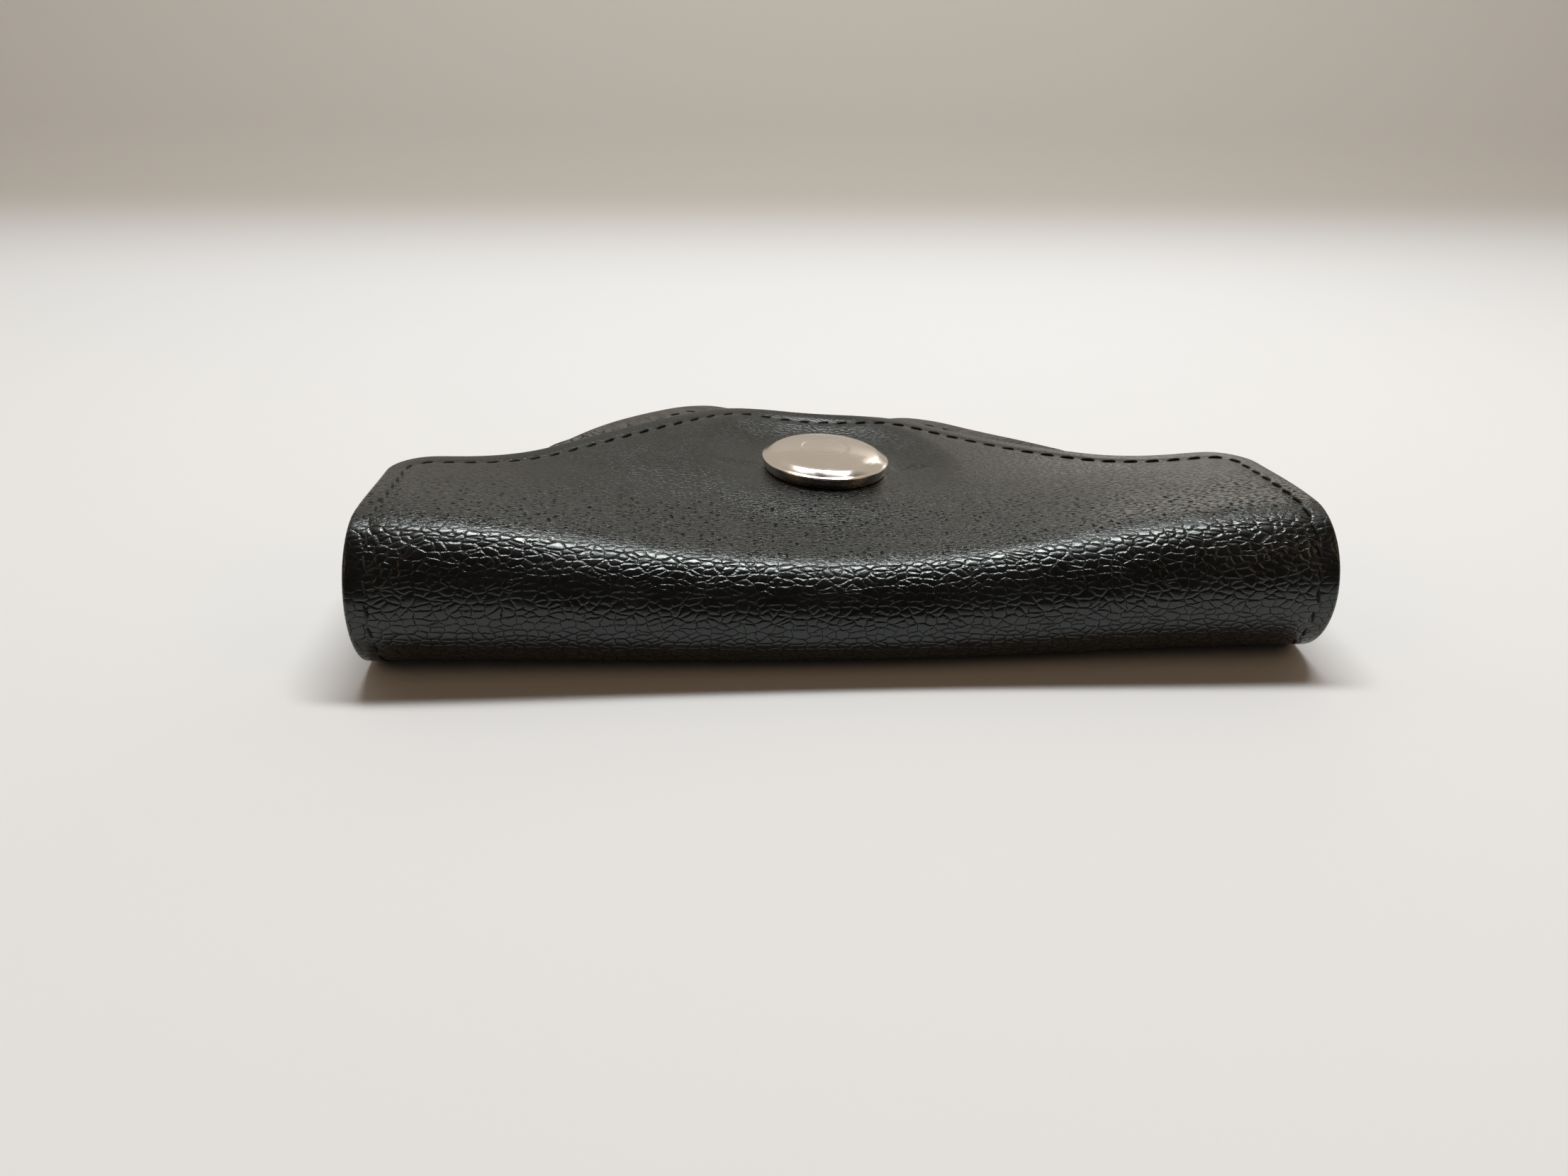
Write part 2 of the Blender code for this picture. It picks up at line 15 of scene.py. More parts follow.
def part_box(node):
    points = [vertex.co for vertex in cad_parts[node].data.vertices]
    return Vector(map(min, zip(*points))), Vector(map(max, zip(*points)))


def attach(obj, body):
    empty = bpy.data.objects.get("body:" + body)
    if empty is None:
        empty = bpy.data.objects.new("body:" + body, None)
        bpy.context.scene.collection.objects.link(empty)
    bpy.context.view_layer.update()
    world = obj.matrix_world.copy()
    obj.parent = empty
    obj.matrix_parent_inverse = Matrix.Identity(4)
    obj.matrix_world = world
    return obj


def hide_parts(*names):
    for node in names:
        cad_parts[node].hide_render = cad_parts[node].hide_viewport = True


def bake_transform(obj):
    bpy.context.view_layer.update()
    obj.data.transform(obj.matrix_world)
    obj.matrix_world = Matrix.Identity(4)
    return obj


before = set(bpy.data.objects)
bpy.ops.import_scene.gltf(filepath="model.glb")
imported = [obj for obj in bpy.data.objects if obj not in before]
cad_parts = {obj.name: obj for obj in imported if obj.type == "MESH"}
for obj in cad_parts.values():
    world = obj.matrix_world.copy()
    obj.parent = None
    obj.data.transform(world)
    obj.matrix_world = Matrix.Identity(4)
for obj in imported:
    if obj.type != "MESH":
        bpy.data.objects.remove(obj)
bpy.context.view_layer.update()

# Overall sizes, from the frame
FLAP_LOW, FLAP_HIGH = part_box("outer_leather_flap")
BACK_LOW, BACK_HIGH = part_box("outer_leather_back")
CASE_WIDTH = FLAP_HIGH.x - FLAP_LOW.x
END_HEIGHT = FLAP_HIGH.z
FRONT_Y = FLAP_LOW.y
FLAP_REACH = FLAP_HIGH.y - FRONT_Y
BACK_REACH = BACK_HIGH.y - FRONT_Y

# Shell
SPINE_DIP = 0.0044
SHOULDER_DROP = 0.0012
TAB_RISE = 0.0027
SEAT_SINK = 0.0007
LEATHER_THICKNESS = 0.00115
LINING_DEPTH = 0.0013
LINING_THICKNESS = 0.0007
LINING_INSET = 0.0005
SHEET_DEPTH = LINING_DEPTH + LINING_THICKNESS
SHOULDER_CORNER_RADIUS = 0.005
TAB_CORNER_RADIUS = 0.012
FLAP_SHOULDER_REACH = 0.027
FLAP_SHOULDER_RUN = 0.0131
FLAP_TAB_END_HALF = 0.0115
FLAP_SLOPE_RADIUS = 0.018
BACK_SHOULDER_OVERHANG = 0.0014
BACK_SHOULDER_RUN = 0.0105
BACK_TAB_END_MARGIN = 0.0042
BACK_SLOPE_RADIUS = 0.0075
LIFT_START_REACH = 0.0155
LIFT_RUN = 0.0185
LIFT_FULL_HALF = 0.0366
LIFT_SIDE_RUN = 0.0084
TAB_CLEARANCE = 0.0004
EDGE_CURL_MIDDLE = 0.0013
EDGE_CURL_SIDE = 0.0005
EDGE_ROUND = 0.00045
INNER_EDGE_ROUND = 0.00015
LINING_ROUND = 0.0002
LINING_GAP = 0.00003
SAG_POWER = 2.0
TAB_SAG_POWER = 4.0
SEAT_SHARE = 1.1
SEAT_SPREAD_SHARE = 2.0

# The tabs' lean to the right and shift to the left, from wear, which die out near the table
LEAN = tan(radians(4.1))
SHIFT = 0.0008
LEAN_START_HEIGHT = 0.004

# Press stud
SNAP_REACH = 0.028
CAP_RADIUS = 0.0075
CAP_SEGMENTS = 160
CAP_DISC_RADIUS = 0.0028
CAP_RING_RADIUS = 0.83 * CAP_RADIUS
CAP_LINE_HALF_WIDTH = 0.00012
CAP_LINE_DEPTH = 0.00007
CAP_STEP_RUN = 0.00008
CAP_STEP_CLEAR = 0.0003
CAP_EDGE_ROUND = 0.00018
CAP_DOME_FALL = 0.46
CAP_EDGE_FALL = 0.30
CAP_EDGE_CURVE = 0.12
CAP_WALL_HEIGHT = 0.0011
CAP_DOME_RISE = 0.0013
CAP_SHEET = 0.0005
CAP_WALL_TAPER = 0.0003
CAP_RIM_TURN = 0.0011
SHANK_RADIUS = 0.0014
FLARE_RADIUS = 0.0020
FLARE_THICKNESS = 0.0003
SOCKET_RADIUS = 0.0062
SOCKET_HEIGHT = 0.0030
SOCKET_PLATE = 0.0004
SPRING_WIRE_RADIUS = 0.0003
SPRING_INNER_RADIUS = 0.0029
STUD_BALL_RADIUS = 0.0026
STUD_NECK_RADIUS = 0.0023
STUD_FLANGE_RADIUS = 0.0048
STUD_FLANGE_THICKNESS = 0.0004
POST_HEAD_RADIUS = 0.0052
POST_HEAD_THICKNESS = 0.0006
SEAT_GAP = 0.0003
METAL_ROUND = 0.0002
METAL_CONTACT_GAP = 0.00005
CAP_CONTACT_GAP = 0.00002
SPRING_DEPTH_SHARE = 0.62
SPRING_TURN_SHARE = 0.92
SHARP_ANGLE = radians(40)
TURNED_SEGMENTS = 96
TABS_APART = SOCKET_HEIGHT + STUD_FLANGE_THICKNESS + 3 * SEAT_GAP
STUD_HEIGHT = TABS_APART - 4 * SEAT_GAP - SOCKET_PLATE - FLARE_THICKNESS

HALF_WIDTH = CASE_WIDTH / 2
HINGE_HEIGHT = END_HEIGHT / 2
BACK_SHOULDER_REACH = FLAP_SHOULDER_REACH + BACK_SHOULDER_OVERHANG
FLAP_CORNERS = [
    (HALF_WIDTH, FLAP_SHOULDER_REACH, SHOULDER_CORNER_RADIUS),
    (HALF_WIDTH - FLAP_SHOULDER_RUN, FLAP_SHOULDER_REACH, FLAP_SLOPE_RADIUS),
    (FLAP_TAB_END_HALF, FLAP_REACH, TAB_CORNER_RADIUS),
]
BACK_CORNERS = [
    (HALF_WIDTH, BACK_SHOULDER_REACH, SHOULDER_CORNER_RADIUS),
    (HALF_WIDTH - BACK_SHOULDER_RUN, BACK_SHOULDER_REACH, BACK_SLOPE_RADIUS),
    (FLAP_TAB_END_HALF + BACK_TAB_END_MARGIN, BACK_REACH, TAB_CORNER_RADIUS),
]

# Gussets, from near the spine's front out to their mouth
GUSSET_START = 0.0032
GUSSET_REACH = 0.0225
GUSSET_ROOT_INSET = 0.0015
GUSSET_THICKNESS = 0.0008
GUSSET_GAP = 0.00025
GUSSET_START_WIDTH = 0.0022
GUSSET_MOUTH_WIDTH = 0.0232
GUSSET_WIDTH_POWER = 1.1
GUSSET_CREASE_SOFTNESS = 0.07
GUSSET_BULGE = 0.0007
GUSSET_ROWS = 40
GUSSET_COLUMNS = 49

# Seams
SEAM_MARGIN = 0.00215
STITCH_PITCH = 0.00245
STITCH_LENGTH = 0.0018
THREAD_RADIUS = 0.00015
THREAD_TAPER = 0.35
THREAD_TAPER_POWER = 6
STITCH_RISE = -0.00005
STITCH_DIVE = 0.00055
STITCH_DIVE_POWER = 5
STITCH_SLANT = radians(10)
GROOVE_DEPTH = 0.00012
GROOVE_WIDTH = 0.00042
THREAD_SIDES = 8
STITCH_STEPS = 11
SEAM_STEP = 0.0002
SLOPE_STEP = 0.0001
TABLE_CLEARANCE = 0.00002
TABLE_ZONE = 0.0015

# Relief of the worn leather: slow undulation, level round the stud, and a pucker on each side of it
UNDULATION_LENGTH = 0.022
UNDULATION_WIDTH = 0.011
FLAP_UNDULATION = 0.00012
BACK_UNDULATION = 0.00008
LEVEL_RUN = 0.006
RELIEF_START_HEIGHT = 0.003
PUCKER_DEPTH = 0.00018
PUCKER_WIDTH = 0.0006
PUCKER_OFFSET = 0.0004
PUCKER_START = 0.0078
PUCKER_START_RUN = 0.0012
PUCKER_END = 0.011
PUCKER_END_RUN = 0.003

# Painted rim and bent leather, as shares that the leather's material reads
RIM_PAINT = 0.8
RIM_WIDTH = 0.0005
RIM_FADE = 0.0013
BENT_NORMAL = 0.90
BENT_NORMAL_RUN = 0.09
BENT_REACH = 0.008
BENT_REACH_RUN = 0.004

# Grain
CELL_LENGTH = 0.0012
CELL_HEIGHT = 0.00078
PANEL_CELL_LENGTH = 0.00062
PANEL_CELL_HEIGHT = 0.00026
CELL_WARPS = ((0.4, 0.9), (2.2, 0.24), (6.0, 0.06))
NEAR_PANEL = 0.026
FAR_PANEL = 0.044
STRAND_LAY = 0.0009
STRANDS = 3

# Resolution
COLUMNS = 230
CORNER_COLUMNS = 10
ARC_ROWS = 62
PANEL_ROWS = 100
LINING_SHARE = 0.5
OUTER_ROUND_STEPS = 6
INNER_ROUND_STEPS = 3


def smooth(t):
    """Ease from 0 to 1 while t goes from 0 to 1, and hold outside."""
    t = np.clip(t, 0.0, 1.0)
    return t * t * (3.0 - 2.0 * t)


# Outline


def filleted(corners, steps=24):
    """Half outline from the side to the middle, with each corner turned into an arc."""
    path = [(corners[0][0], 0.0, 0.0), *corners, (0.0, corners[-1][1], 0.0)]
    points = [Vector(path[0][:2])]
    for before, corner, after in zip(path, path[1:], path[2:]):
        tip = Vector(corner[:2])
        inward = (Vector(before[:2]) - tip).normalized()
        onward = (Vector(after[:2]) - tip).normalized()
        half = inward.angle(onward) / 2
        centre = tip + (inward + onward).normalized() * (corner[2] / sin(half))
        start = tip + inward * (corner[2] * cos(half) / sin(half)) - centre
        end = tip + onward * (corner[2] * cos(half) / sin(half)) - centre
        turn = start.angle_signed(end)
        for step in range(steps + 1):
            points.append(centre + Matrix.Rotation(-turn * step / steps, 2) @ start)
    points.append(Vector(path[-1][:2]))
    return np.array(points)


def inset_outline(corners, inset):
    """Half outline moved inwards by an even distance."""
    points = filleted(corners)
    along = np.gradient(points, axis=0)
    along /= np.linalg.norm(along, axis=1)[:, None]
    return points + np.stack([-along[:, 1], along[:, 0]], axis=1) * inset


def reach(corners, x, inset=0.0):
    """How far from the spine's front the edge lies at places along the spine."""
    points = inset_outline(corners, inset)[1:][::-1]
    return np.interp(np.abs(x), points[:, 0], points[:, 1])


def columns(inset, count, corner_count):
    """Places along the spine where a sheet has a column of points."""
    flat_half = HALF_WIDTH - SHOULDER_CORNER_RADIUS
    turn = np.sin(np.linspace(0.0, pi / 2, corner_count + 1)[1:])
    outer = flat_half + (SHOULDER_CORNER_RADIUS - inset) * turn
    return np.concatenate([-outer[::-1], np.linspace(-flat_half, flat_half, count), outer])


# Shell surfaces


def spine_radius(x):
    """Radius of the spine's round outer face, which is smaller where the spine sags."""
    sag = 1.0 - np.sin(pi * np.abs(x) / CASE_WIDTH) ** SAG_POWER
    return (END_HEIGHT - SPINE_DIP * sag) / 2


def tab_share(y):
    """0 at the spine's top, easing to 1 at the flap tab's end."""
    return smooth((y - HINGE_HEIGHT) / (FLAP_REACH - HINGE_HEIGHT))


def flap_height_free(x, y):
    """Height of the flap's outer face without the seat of the press stud."""
    run = smooth((y - HINGE_HEIGHT) / (FLAP_SHOULDER_REACH - HINGE_HEIGHT))
    end = END_HEIGHT - SHOULDER_DROP * run
    middle = END_HEIGHT - SPINE_DIP + TAB_RISE * tab_share(y)
    power = SAG_POWER + (TAB_SAG_POWER - SAG_POWER) * run
    return middle + (end - middle) * np.sin(pi * np.abs(x) / CASE_WIDTH) ** power


SEAT_HEIGHT = float(flap_height_free(0.0, SNAP_REACH)) - SEAT_SINK


def seat_share(x, y, seat_radius):
    """1 on the flat seat of the press stud, easing to 0 round it."""
    beyond = np.hypot(x, y - SNAP_REACH) - seat_radius
    return 1.0 - smooth(beyond / (seat_radius * (SEAT_SPREAD_SHARE - 1)))


def flap_height(x, y):
    """Height of the flap's outer face."""
    free = flap_height_free(x, y)
    return free + (SEAT_HEIGHT - free) * seat_share(x, y, CAP_RADIUS * SEAT_SHARE)


def back_height(x, y):
    """Height of the back panel's outer face, which is its underside."""
    along = smooth((y - LIFT_START_REACH) / LIFT_RUN)
    across = 1.0 - smooth((np.abs(x) - LIFT_FULL_HALF) / LIFT_SIDE_RUN)
    beyond = smooth((y - reach(FLAP_CORNERS, x)) / (BACK_REACH - FLAP_REACH))
    curl = EDGE_CURL_MIDDLE + EDGE_CURL_SIDE * (x / LIFT_FULL_HALF) ** 2
    free = along * across * (flap_height(x, y) - 2 * SHEET_DEPTH - TAB_CLEARANCE + curl * beyond)
    seat = SEAT_HEIGHT - 2 * SHEET_DEPTH - TABS_APART
    return free + (seat - free) * seat_share(x, y, SOCKET_RADIUS)


def settled(points):
    """Points in case coordinates, moved into the frame with the tabs leaning and shifted as they lie."""
    x, y, z = np.asarray(points, float).T
    raised = smooth(z / LEAN_START_HEIGHT)
    flat = seat_share(x, y, CAP_RADIUS * SEAT_SHARE)
    share = tab_share(y) + (tab_share(SNAP_REACH) - tab_share(y)) * flat
    power = SAG_POWER + (TAB_SAG_POWER - SAG_POWER) * share
    side = np.sin(pi * np.minimum(np.abs(x), HALF_WIDTH) / CASE_WIDTH) ** power * (1 - flat)
    lean = LEAN * x * share * (1 - side) * raised
    return np.stack([x - SHIFT * share * raised, y + FRONT_Y, z - lean], axis=1)


def flap_grid(inset, detail):
    """Points of the spine and flap, from the bottom of the spine round its front and out to the tab."""
    x = columns(inset, int(COLUMNS * detail), int(CORNER_COLUMNS * detail))[:, None]
    radius = spine_radius(x)
    angle = np.linspace(-pi / 2, pi / 2, int(ARC_ROWS * detail))[None, :-1]
    share = np.linspace(0.0, 1.0, int(PANEL_ROWS * detail))[None, :]
    y = radius + (reach(FLAP_CORNERS, x, inset) - radius) * share
    forward, upward = radius - radius * np.cos(angle), radius + radius * np.sin(angle)
    arc = np.stack([x + 0 * angle, forward, upward], axis=-1)
    panel = np.stack([x + 0 * share, y, flap_height(x + 0 * y, y)], axis=-1)
    return np.concatenate([arc, panel], axis=1)


def back_grid(inset, detail):
    """Points of the back panel, from the bottom of the spine out to the lifted tab."""
    x = columns(inset, int(COLUMNS * detail), int(CORNER_COLUMNS * detail))[:, None]
    radius = spine_radius(x)
    share = np.linspace(0.0, 1.0, int(PANEL_ROWS * detail))[None, :]
    y = radius + (reach(BACK_CORNERS, x, inset) - radius) * share
    return np.stack([x + 0 * share, y, back_height(x + 0 * y, y)], axis=-1)


def grid_normals(points):
    """Unit normals of a grid of points."""
    normals = np.cross(np.gradient(points, axis=0), np.gradient(points, axis=1))
    return normals / np.linalg.norm(normals, axis=-1)[..., None]


# Mesh helpers


def border(size_x, size_s):
    """Indices round the border of a grid, along both of its axes."""
    one = [*[0] * size_s, *range(1, size_x), *[size_x - 1] * (size_s - 1), *range(size_x - 2, 0, -1)]
    other = [*range(size_s), *[size_s - 1] * (size_x - 1), *range(size_s - 2, -1, -1), *[0] * (size_x - 2)]
    return np.array(one), np.array(other)


def grid_faces(size_x, size_s, start):
    """Quads of a grid whose points begin at an index."""
    index = start + np.arange(size_x * size_s).reshape(size_x, size_s)
    quads = [index[:-1, :-1], index[1:, :-1], index[1:, 1:], index[:-1, 1:]]
    return np.stack(quads, axis=-1).reshape(-1, 4)


def band_faces(one, other):
    """Quads between two closed rings of indices."""
    return np.stack([one, np.roll(one, -1), np.roll(other, -1), other], axis=1)


def add_piece(name, verts, faces, material, values=None, uvs=None):
    """Closed mesh object moved into the frame, with per-point values and one UV map in metres."""
    mesh = bpy.data.meshes.new(name)
    mesh.from_pydata(settled(verts).tolist(), [], faces)
    mesh.materials.append(material)
    for label, value in (values or {}).items():
        attribute = mesh.attributes.new(label, "FLOAT", "POINT")
        attribute.data.foreach_set("value", np.asarray(value, np.float32))
    if uvs is not None:
        layer = mesh.uv_layers.new(name="surface")
        corners = np.zeros(len(mesh.loops), np.int32)
        mesh.loops.foreach_get("vertex_index", corners)
        layer.data.foreach_set("uv", np.asarray(uvs, np.float32)[corners].ravel())
    bm = bmesh.new()
    bm.from_mesh(mesh)
    bmesh.ops.recalc_face_normals(bm, faces=bm.faces)
    bm.to_mesh(mesh)
    bm.free()
    mesh.shade_smooth()
    made = bpy.data.objects.new(name, mesh)
    bpy.context.scene.collection.objects.link(made)
    return made


def edge_profile(thickness, outer_round, inner_round):
    """Insets and depths down the rounded edge of a sheet, from its outer face to its inner face."""
    profile = []
    for angle in np.linspace(0, pi / 2, OUTER_ROUND_STEPS + 1):
        profile.append((outer_round * (1 - sin(angle)), outer_round * (1 - cos(angle))))
    for angle in np.linspace(0, pi / 2, INNER_ROUND_STEPS + 1):
        profile.append((inner_round * (1 - cos(angle)), thickness - inner_round * (1 - sin(angle))))
    return profile


def slab(name, grid, inward, depth, thickness, inset, rounds, detail, material, relief=None):
    """Closed sheet with rounded edges. Inward is 1 or -1, the way along the grid's normals into the case."""
    profile = edge_profile(thickness, *rounds)
    outer = grid(inset + profile[0][0], detail)
    size_x, size_s = outer.shape[:2]
    normals = grid_normals(outer) * inward
    lift = np.zeros((size_x, size_s))
    if relief:
        lift = relief(outer.reshape(-1, 3)).reshape(size_x, size_s)
    lengths = np.linalg.norm(np.diff(outer, axis=1), axis=-1)
    along = np.concatenate([np.zeros((size_x, 1)), np.cumsum(lengths, axis=1)], axis=1)
    one, other = border(size_x, size_s)
    flat = one * size_s + other
    points = [(outer + normals * (depth - lift[..., None])).reshape(-1, 3)]
    uvs = [np.stack([outer[..., 0], along], axis=-1).reshape(-1, 2)]
    edge = kdtree.KDTree(len(one))
    for index in np.flatnonzero(other):
        edge.insert(outer[one[index], other[index]], int(index))
    edge.balance()
    away = np.array([edge.find(point)[2] for point in outer.reshape(-1, 3)])
    rims = [RIM_PAINT * (1 - smooth((away - RIM_WIDTH) / RIM_FADE))]
    upright = 1 - smooth((np.abs(normals[..., 2]) - BENT_NORMAL) / BENT_NORMAL_RUN)
    bend = upright * (1 - smooth((outer[..., 1] - BENT_REACH) / BENT_REACH_RUN))
    bends = [bend.ravel()]
    faces = [grid_faces(size_x, size_s, 0)]
    last, count = flat, size_x * size_s
    for step, (ring_inset, ring_depth) in enumerate(profile[1:-1], 1):
        ring = grid(inset + ring_inset, detail)
        ring_normals = grid_normals(ring) * inward
        down = depth + ring_depth - lift[one, other] * max(0.0, 1.0 - step / OUTER_ROUND_STEPS)
        points.append(ring[one, other] + ring_normals[one, other] * down[:, None])
        uvs.append(np.stack([ring[one, other, 0], along[one, other]], axis=1))
        rims.append(np.full(len(one), min(1.0, RIM_PAINT + step / 20)))
        bends.append(bend[one, other])
        fresh = count + np.arange(len(one))
        faces.append(band_faces(last, fresh))
        last, count = fresh, count + len(one)
    inner = grid(inset + profile[-1][0], detail)
    points.append((inner + grid_normals(inner) * inward * (depth + thickness)).reshape(-1, 3))
    uvs.append(np.stack([inner[..., 0], along], axis=-1).reshape(-1, 2))
    rims.append(np.zeros(size_x * size_s))
    bends.append(np.zeros(size_x * size_s))
    faces.append(band_faces(last, count + flat))
    faces.append(grid_faces(size_x, size_s, count)[:, ::-1])
    values = {"rim": np.concatenate(rims), "bend": np.concatenate(bends)}
    points, faces, uvs = np.concatenate(points), np.concatenate(faces), np.concatenate(uvs)
    return add_piece(name, points, faces.tolist(), material, values, uvs)


def lathe(name, profile, segments, material):
    """Solid turned about the stud's axis, from radii and heights that end on the axis or close."""
    rings, faces, verts = [], [], []
    for radius, height in profile:
        start = len(verts)
        if radius == 0.0:
            verts.append((0.0, SNAP_REACH, height))
            rings.append([start] * segments)
            continue
        for step in range(segments):
            angle = 2 * pi * step / segments
            verts.append((radius * cos(angle), SNAP_REACH + radius * sin(angle), height))
        rings.append(list(range(start, start + segments)))
    closed = profile[0][0] > 0.0
    for one, other in zip(rings, rings[1:] + (rings[:1] if closed else [])):
        for step in range(segments):
            after = (step + 1) % segments
            quad = dict.fromkeys((one[step], one[after], other[after], other[step]))
            if len(quad) > 2:
                faces.append(tuple(quad))
    return add_metal(name, verts, faces, material)


def add_metal(name, verts, faces, material):
    """Metal piece with its sharp edges kept."""
    made = add_piece(name, verts, faces, material)
    made.data.set_sharp_from_angle(angle=SHARP_ANGLE)
    return made


# Seams


class Seam:
    """Path of a seam on an outer face, with the face's normal at each point."""

    def __init__(self, corners, height, with_spine, outward):
        plan = inset_outline(corners, SEAM_MARGIN)
        side = HALF_WIDTH - SEAM_MARGIN
        radius = float(spine_radius(side))
        plan = plan[plan[:, 1] > radius]
        plan = np.concatenate([[(side, radius)], plan])
        plan = np.concatenate([plan, (plan * [-1, 1])[-2::-1]])
        steps = np.concatenate([[0], np.cumsum(np.linalg.norm(np.diff(plan, axis=0), axis=1))])
        at = np.linspace(0, steps[-1], int(steps[-1] / SEAM_STEP))
        x, y = np.interp(at, steps, plan[:, 0]), np.interp(at, steps, plan[:, 1])
        slope_x = (height(x + SLOPE_STEP, y) - height(x - SLOPE_STEP, y)) / (2 * SLOPE_STEP)
        slope_y = (height(x, y + SLOPE_STEP) - height(x, y - SLOPE_STEP)) / (2 * SLOPE_STEP)
        points = np.stack([x, y, height(x, y)], axis=1)
        normals = np.stack([-slope_x, -slope_y, np.ones_like(x)], axis=1) * outward
        if with_spine:
            angle = np.linspace(-pi / 2, pi / 2, int(pi * radius / SEAM_STEP))[:-1]
            forward, upward = radius * (1 - np.cos(angle)), radius * (1 + np.sin(angle))
            arc = np.stack([side + 0 * angle, forward, upward], axis=1)
            out = np.stack([0 * angle, -np.cos(angle), np.sin(angle)], axis=1)
            flip = np.array([-1, 1, 1])
            points = np.concatenate([arc, points, (arc * flip)[::-1]])
            normals = np.concatenate([out, normals, (out * flip)[::-1]])
        self.points = points
        self.normals = normals / np.linalg.norm(normals, axis=1)[:, None]
        self.steps = np.concatenate([[0], np.cumsum(np.linalg.norm(np.diff(points, axis=0), axis=1))])
        self.tree = kdtree.KDTree(len(points))
        for index, point in enumerate(points):
            self.tree.insert(point, index)
        self.tree.balance()

    def distance(self, points):
        """Distance of each point to the seam."""
        return np.array([self.tree.find(point)[2] for point in points])

    def at(self, values, distances):
        """Values along the path at distances along it."""
        return np.stack([np.interp(distances, self.steps, values[:, axis]) for axis in range(3)], axis=-1)


def stitch_row(seam, depth, outside):
    """Points, faces and UVs of a seam's stitches, on the outer face or on the inner face at a depth."""
    count = int(seam.steps[-1] / STITCH_PITCH)
    pitch = seam.steps[-1] / count
    share = np.linspace(-1, 1, STITCH_STEPS)
    middle = (np.arange(count) + 0.5) * pitch
    spots = middle[:, None] + share[None, :] * STITCH_LENGTH / 2
    base = seam.at(seam.points, spots)
    normal = seam.at(seam.normals, spots)
    normal /= np.linalg.norm(normal, axis=-1)[..., None]
    along = np.gradient(base, axis=1)
    along /= np.linalg.norm(along, axis=-1)[..., None]
    across = np.cross(normal, along)
    if not outside:
        base, normal = base - normal * depth, -normal
    on_table = 1.0 - smooth(base[..., 2] / TABLE_ZONE) if outside else np.zeros(base.shape[:2])
    rise = STITCH_RISE * (1 - on_table) - (THREAD_RADIUS + TABLE_CLEARANCE) * on_table
    height = rise - (rise + STITCH_DIVE) * np.abs(share) ** STITCH_DIVE_POWER
    slide = np.tan(STITCH_SLANT) * share * STITCH_LENGTH / 2
    centre = base + normal * height[..., None] + across * slide[None, :, None]
    run = np.gradient(centre, axis=1)
    run /= np.linalg.norm(run, axis=-1)[..., None]
    up = np.cross(run, across)
    angle = np.linspace(0, 2 * pi, THREAD_SIDES + 1)[:-1]
    radius = THREAD_RADIUS * (1 - THREAD_TAPER * np.abs(share) ** THREAD_TAPER_POWER)[None, :, None, None]
    ring = across[:, :, None] * np.cos(angle)[:, None] + up[:, :, None] * np.sin(angle)[:, None]
    verts = centre[:, :, None] + ring * radius
    index = np.arange(count * STITCH_STEPS * THREAD_SIDES).reshape(count, STITCH_STEPS, THREAD_SIDES)
    after = np.roll(index, -1, axis=2)
    quads = np.stack([index[:, :-1], after[:, :-1], after[:, 1:], index[:, 1:]], axis=-1).reshape(-1, 4)
    caps = [*index[:, 0].tolist(), *index[:, -1, ::-1].tolist()]
    long = np.broadcast_to(spots[:, :, None], index.shape)
    round_share = np.broadcast_to(angle / (2 * pi), index.shape)
    uvs = np.stack([long, round_share * 2 * pi * THREAD_RADIUS], axis=-1).reshape(-1, 2)
    return verts.reshape(-1, 3), quads.tolist() + caps, uvs


def add_thread(name, seam, depth, material):
    """Both rows of a seam's stitches as one piece."""
    outer, outer_faces, outer_uvs = stitch_row(seam, depth, True)
    inner, inner_faces, inner_uvs = stitch_row(seam, depth, False)
    faces = outer_faces + [[index + len(outer) for index in face] for face in inner_faces]
    uvs = np.concatenate([outer_uvs, inner_uvs])
    return add_piece(name, np.concatenate([outer, inner]), faces, material, uvs=uvs)


# Materials


def node(tree, kind, inputs=None, **settings):
    """Shader node with its settings, and with each input set to a value or linked to a socket."""
    made = tree.nodes.new("ShaderNode" + kind)
    for label, value in settings.items():
        setattr(made, label, value)
    for label, value in (inputs or {}).items():
        if isinstance(value, bpy.types.NodeSocket):
            tree.links.new(value, made.inputs[label])
        else:
            made.inputs[label].default_value = value
    return made


def maths(tree, operation, *values):
    """Result of a Math node on numbers and sockets."""
    return node(tree, "Math", dict(enumerate(values)), operation=operation).outputs[0]


def ramp(tree, value, low, high, start=0.0, end=1.0):
    """Value eased from start to end while it goes from low to high."""
    inputs = {"Value": value, "From Min": low, "From Max": high, "To Min": start, "To Max": end}
    return node(tree, "MapRange", inputs, interpolation_type="SMOOTHSTEP").outputs["Result"]


def new_material(name):
    """Material with an empty Principled shader, and its tree."""
    made = bpy.data.materials.new(name)
    made.use_nodes = True
    tree = made.node_tree
    return made, tree, tree.nodes["Principled BSDF"]


def mix_colour(tree, share, one, other):
    """Colour between two, by a share."""
    mixer = node(tree, "Mix", {"Factor": share}, data_type="RGBA")
    for socket, value in ((mixer.inputs[6], one), (mixer.inputs[7], other)):
        if isinstance(value, bpy.types.NodeSocket):
            tree.links.new(value, socket)
        else:
            socket.default_value = (*value, 1.0)
    return mixer.outputs[2]


def surface_uv(tree):
    """The UV map in metres: along the spine, and round it onto the panels."""
    return node(tree, "UVMap", uv_map="surface").outputs["UV"]


def surface_vector(tree, along_x, along_s):
    """The UV map divided by a cell's two sizes."""
    scale = (1 / along_x, 1 / along_s, 1.0)
    return node(tree, "VectorMath", {0: surface_uv(tree), 1: scale}, operation="MULTIPLY").outputs[0]


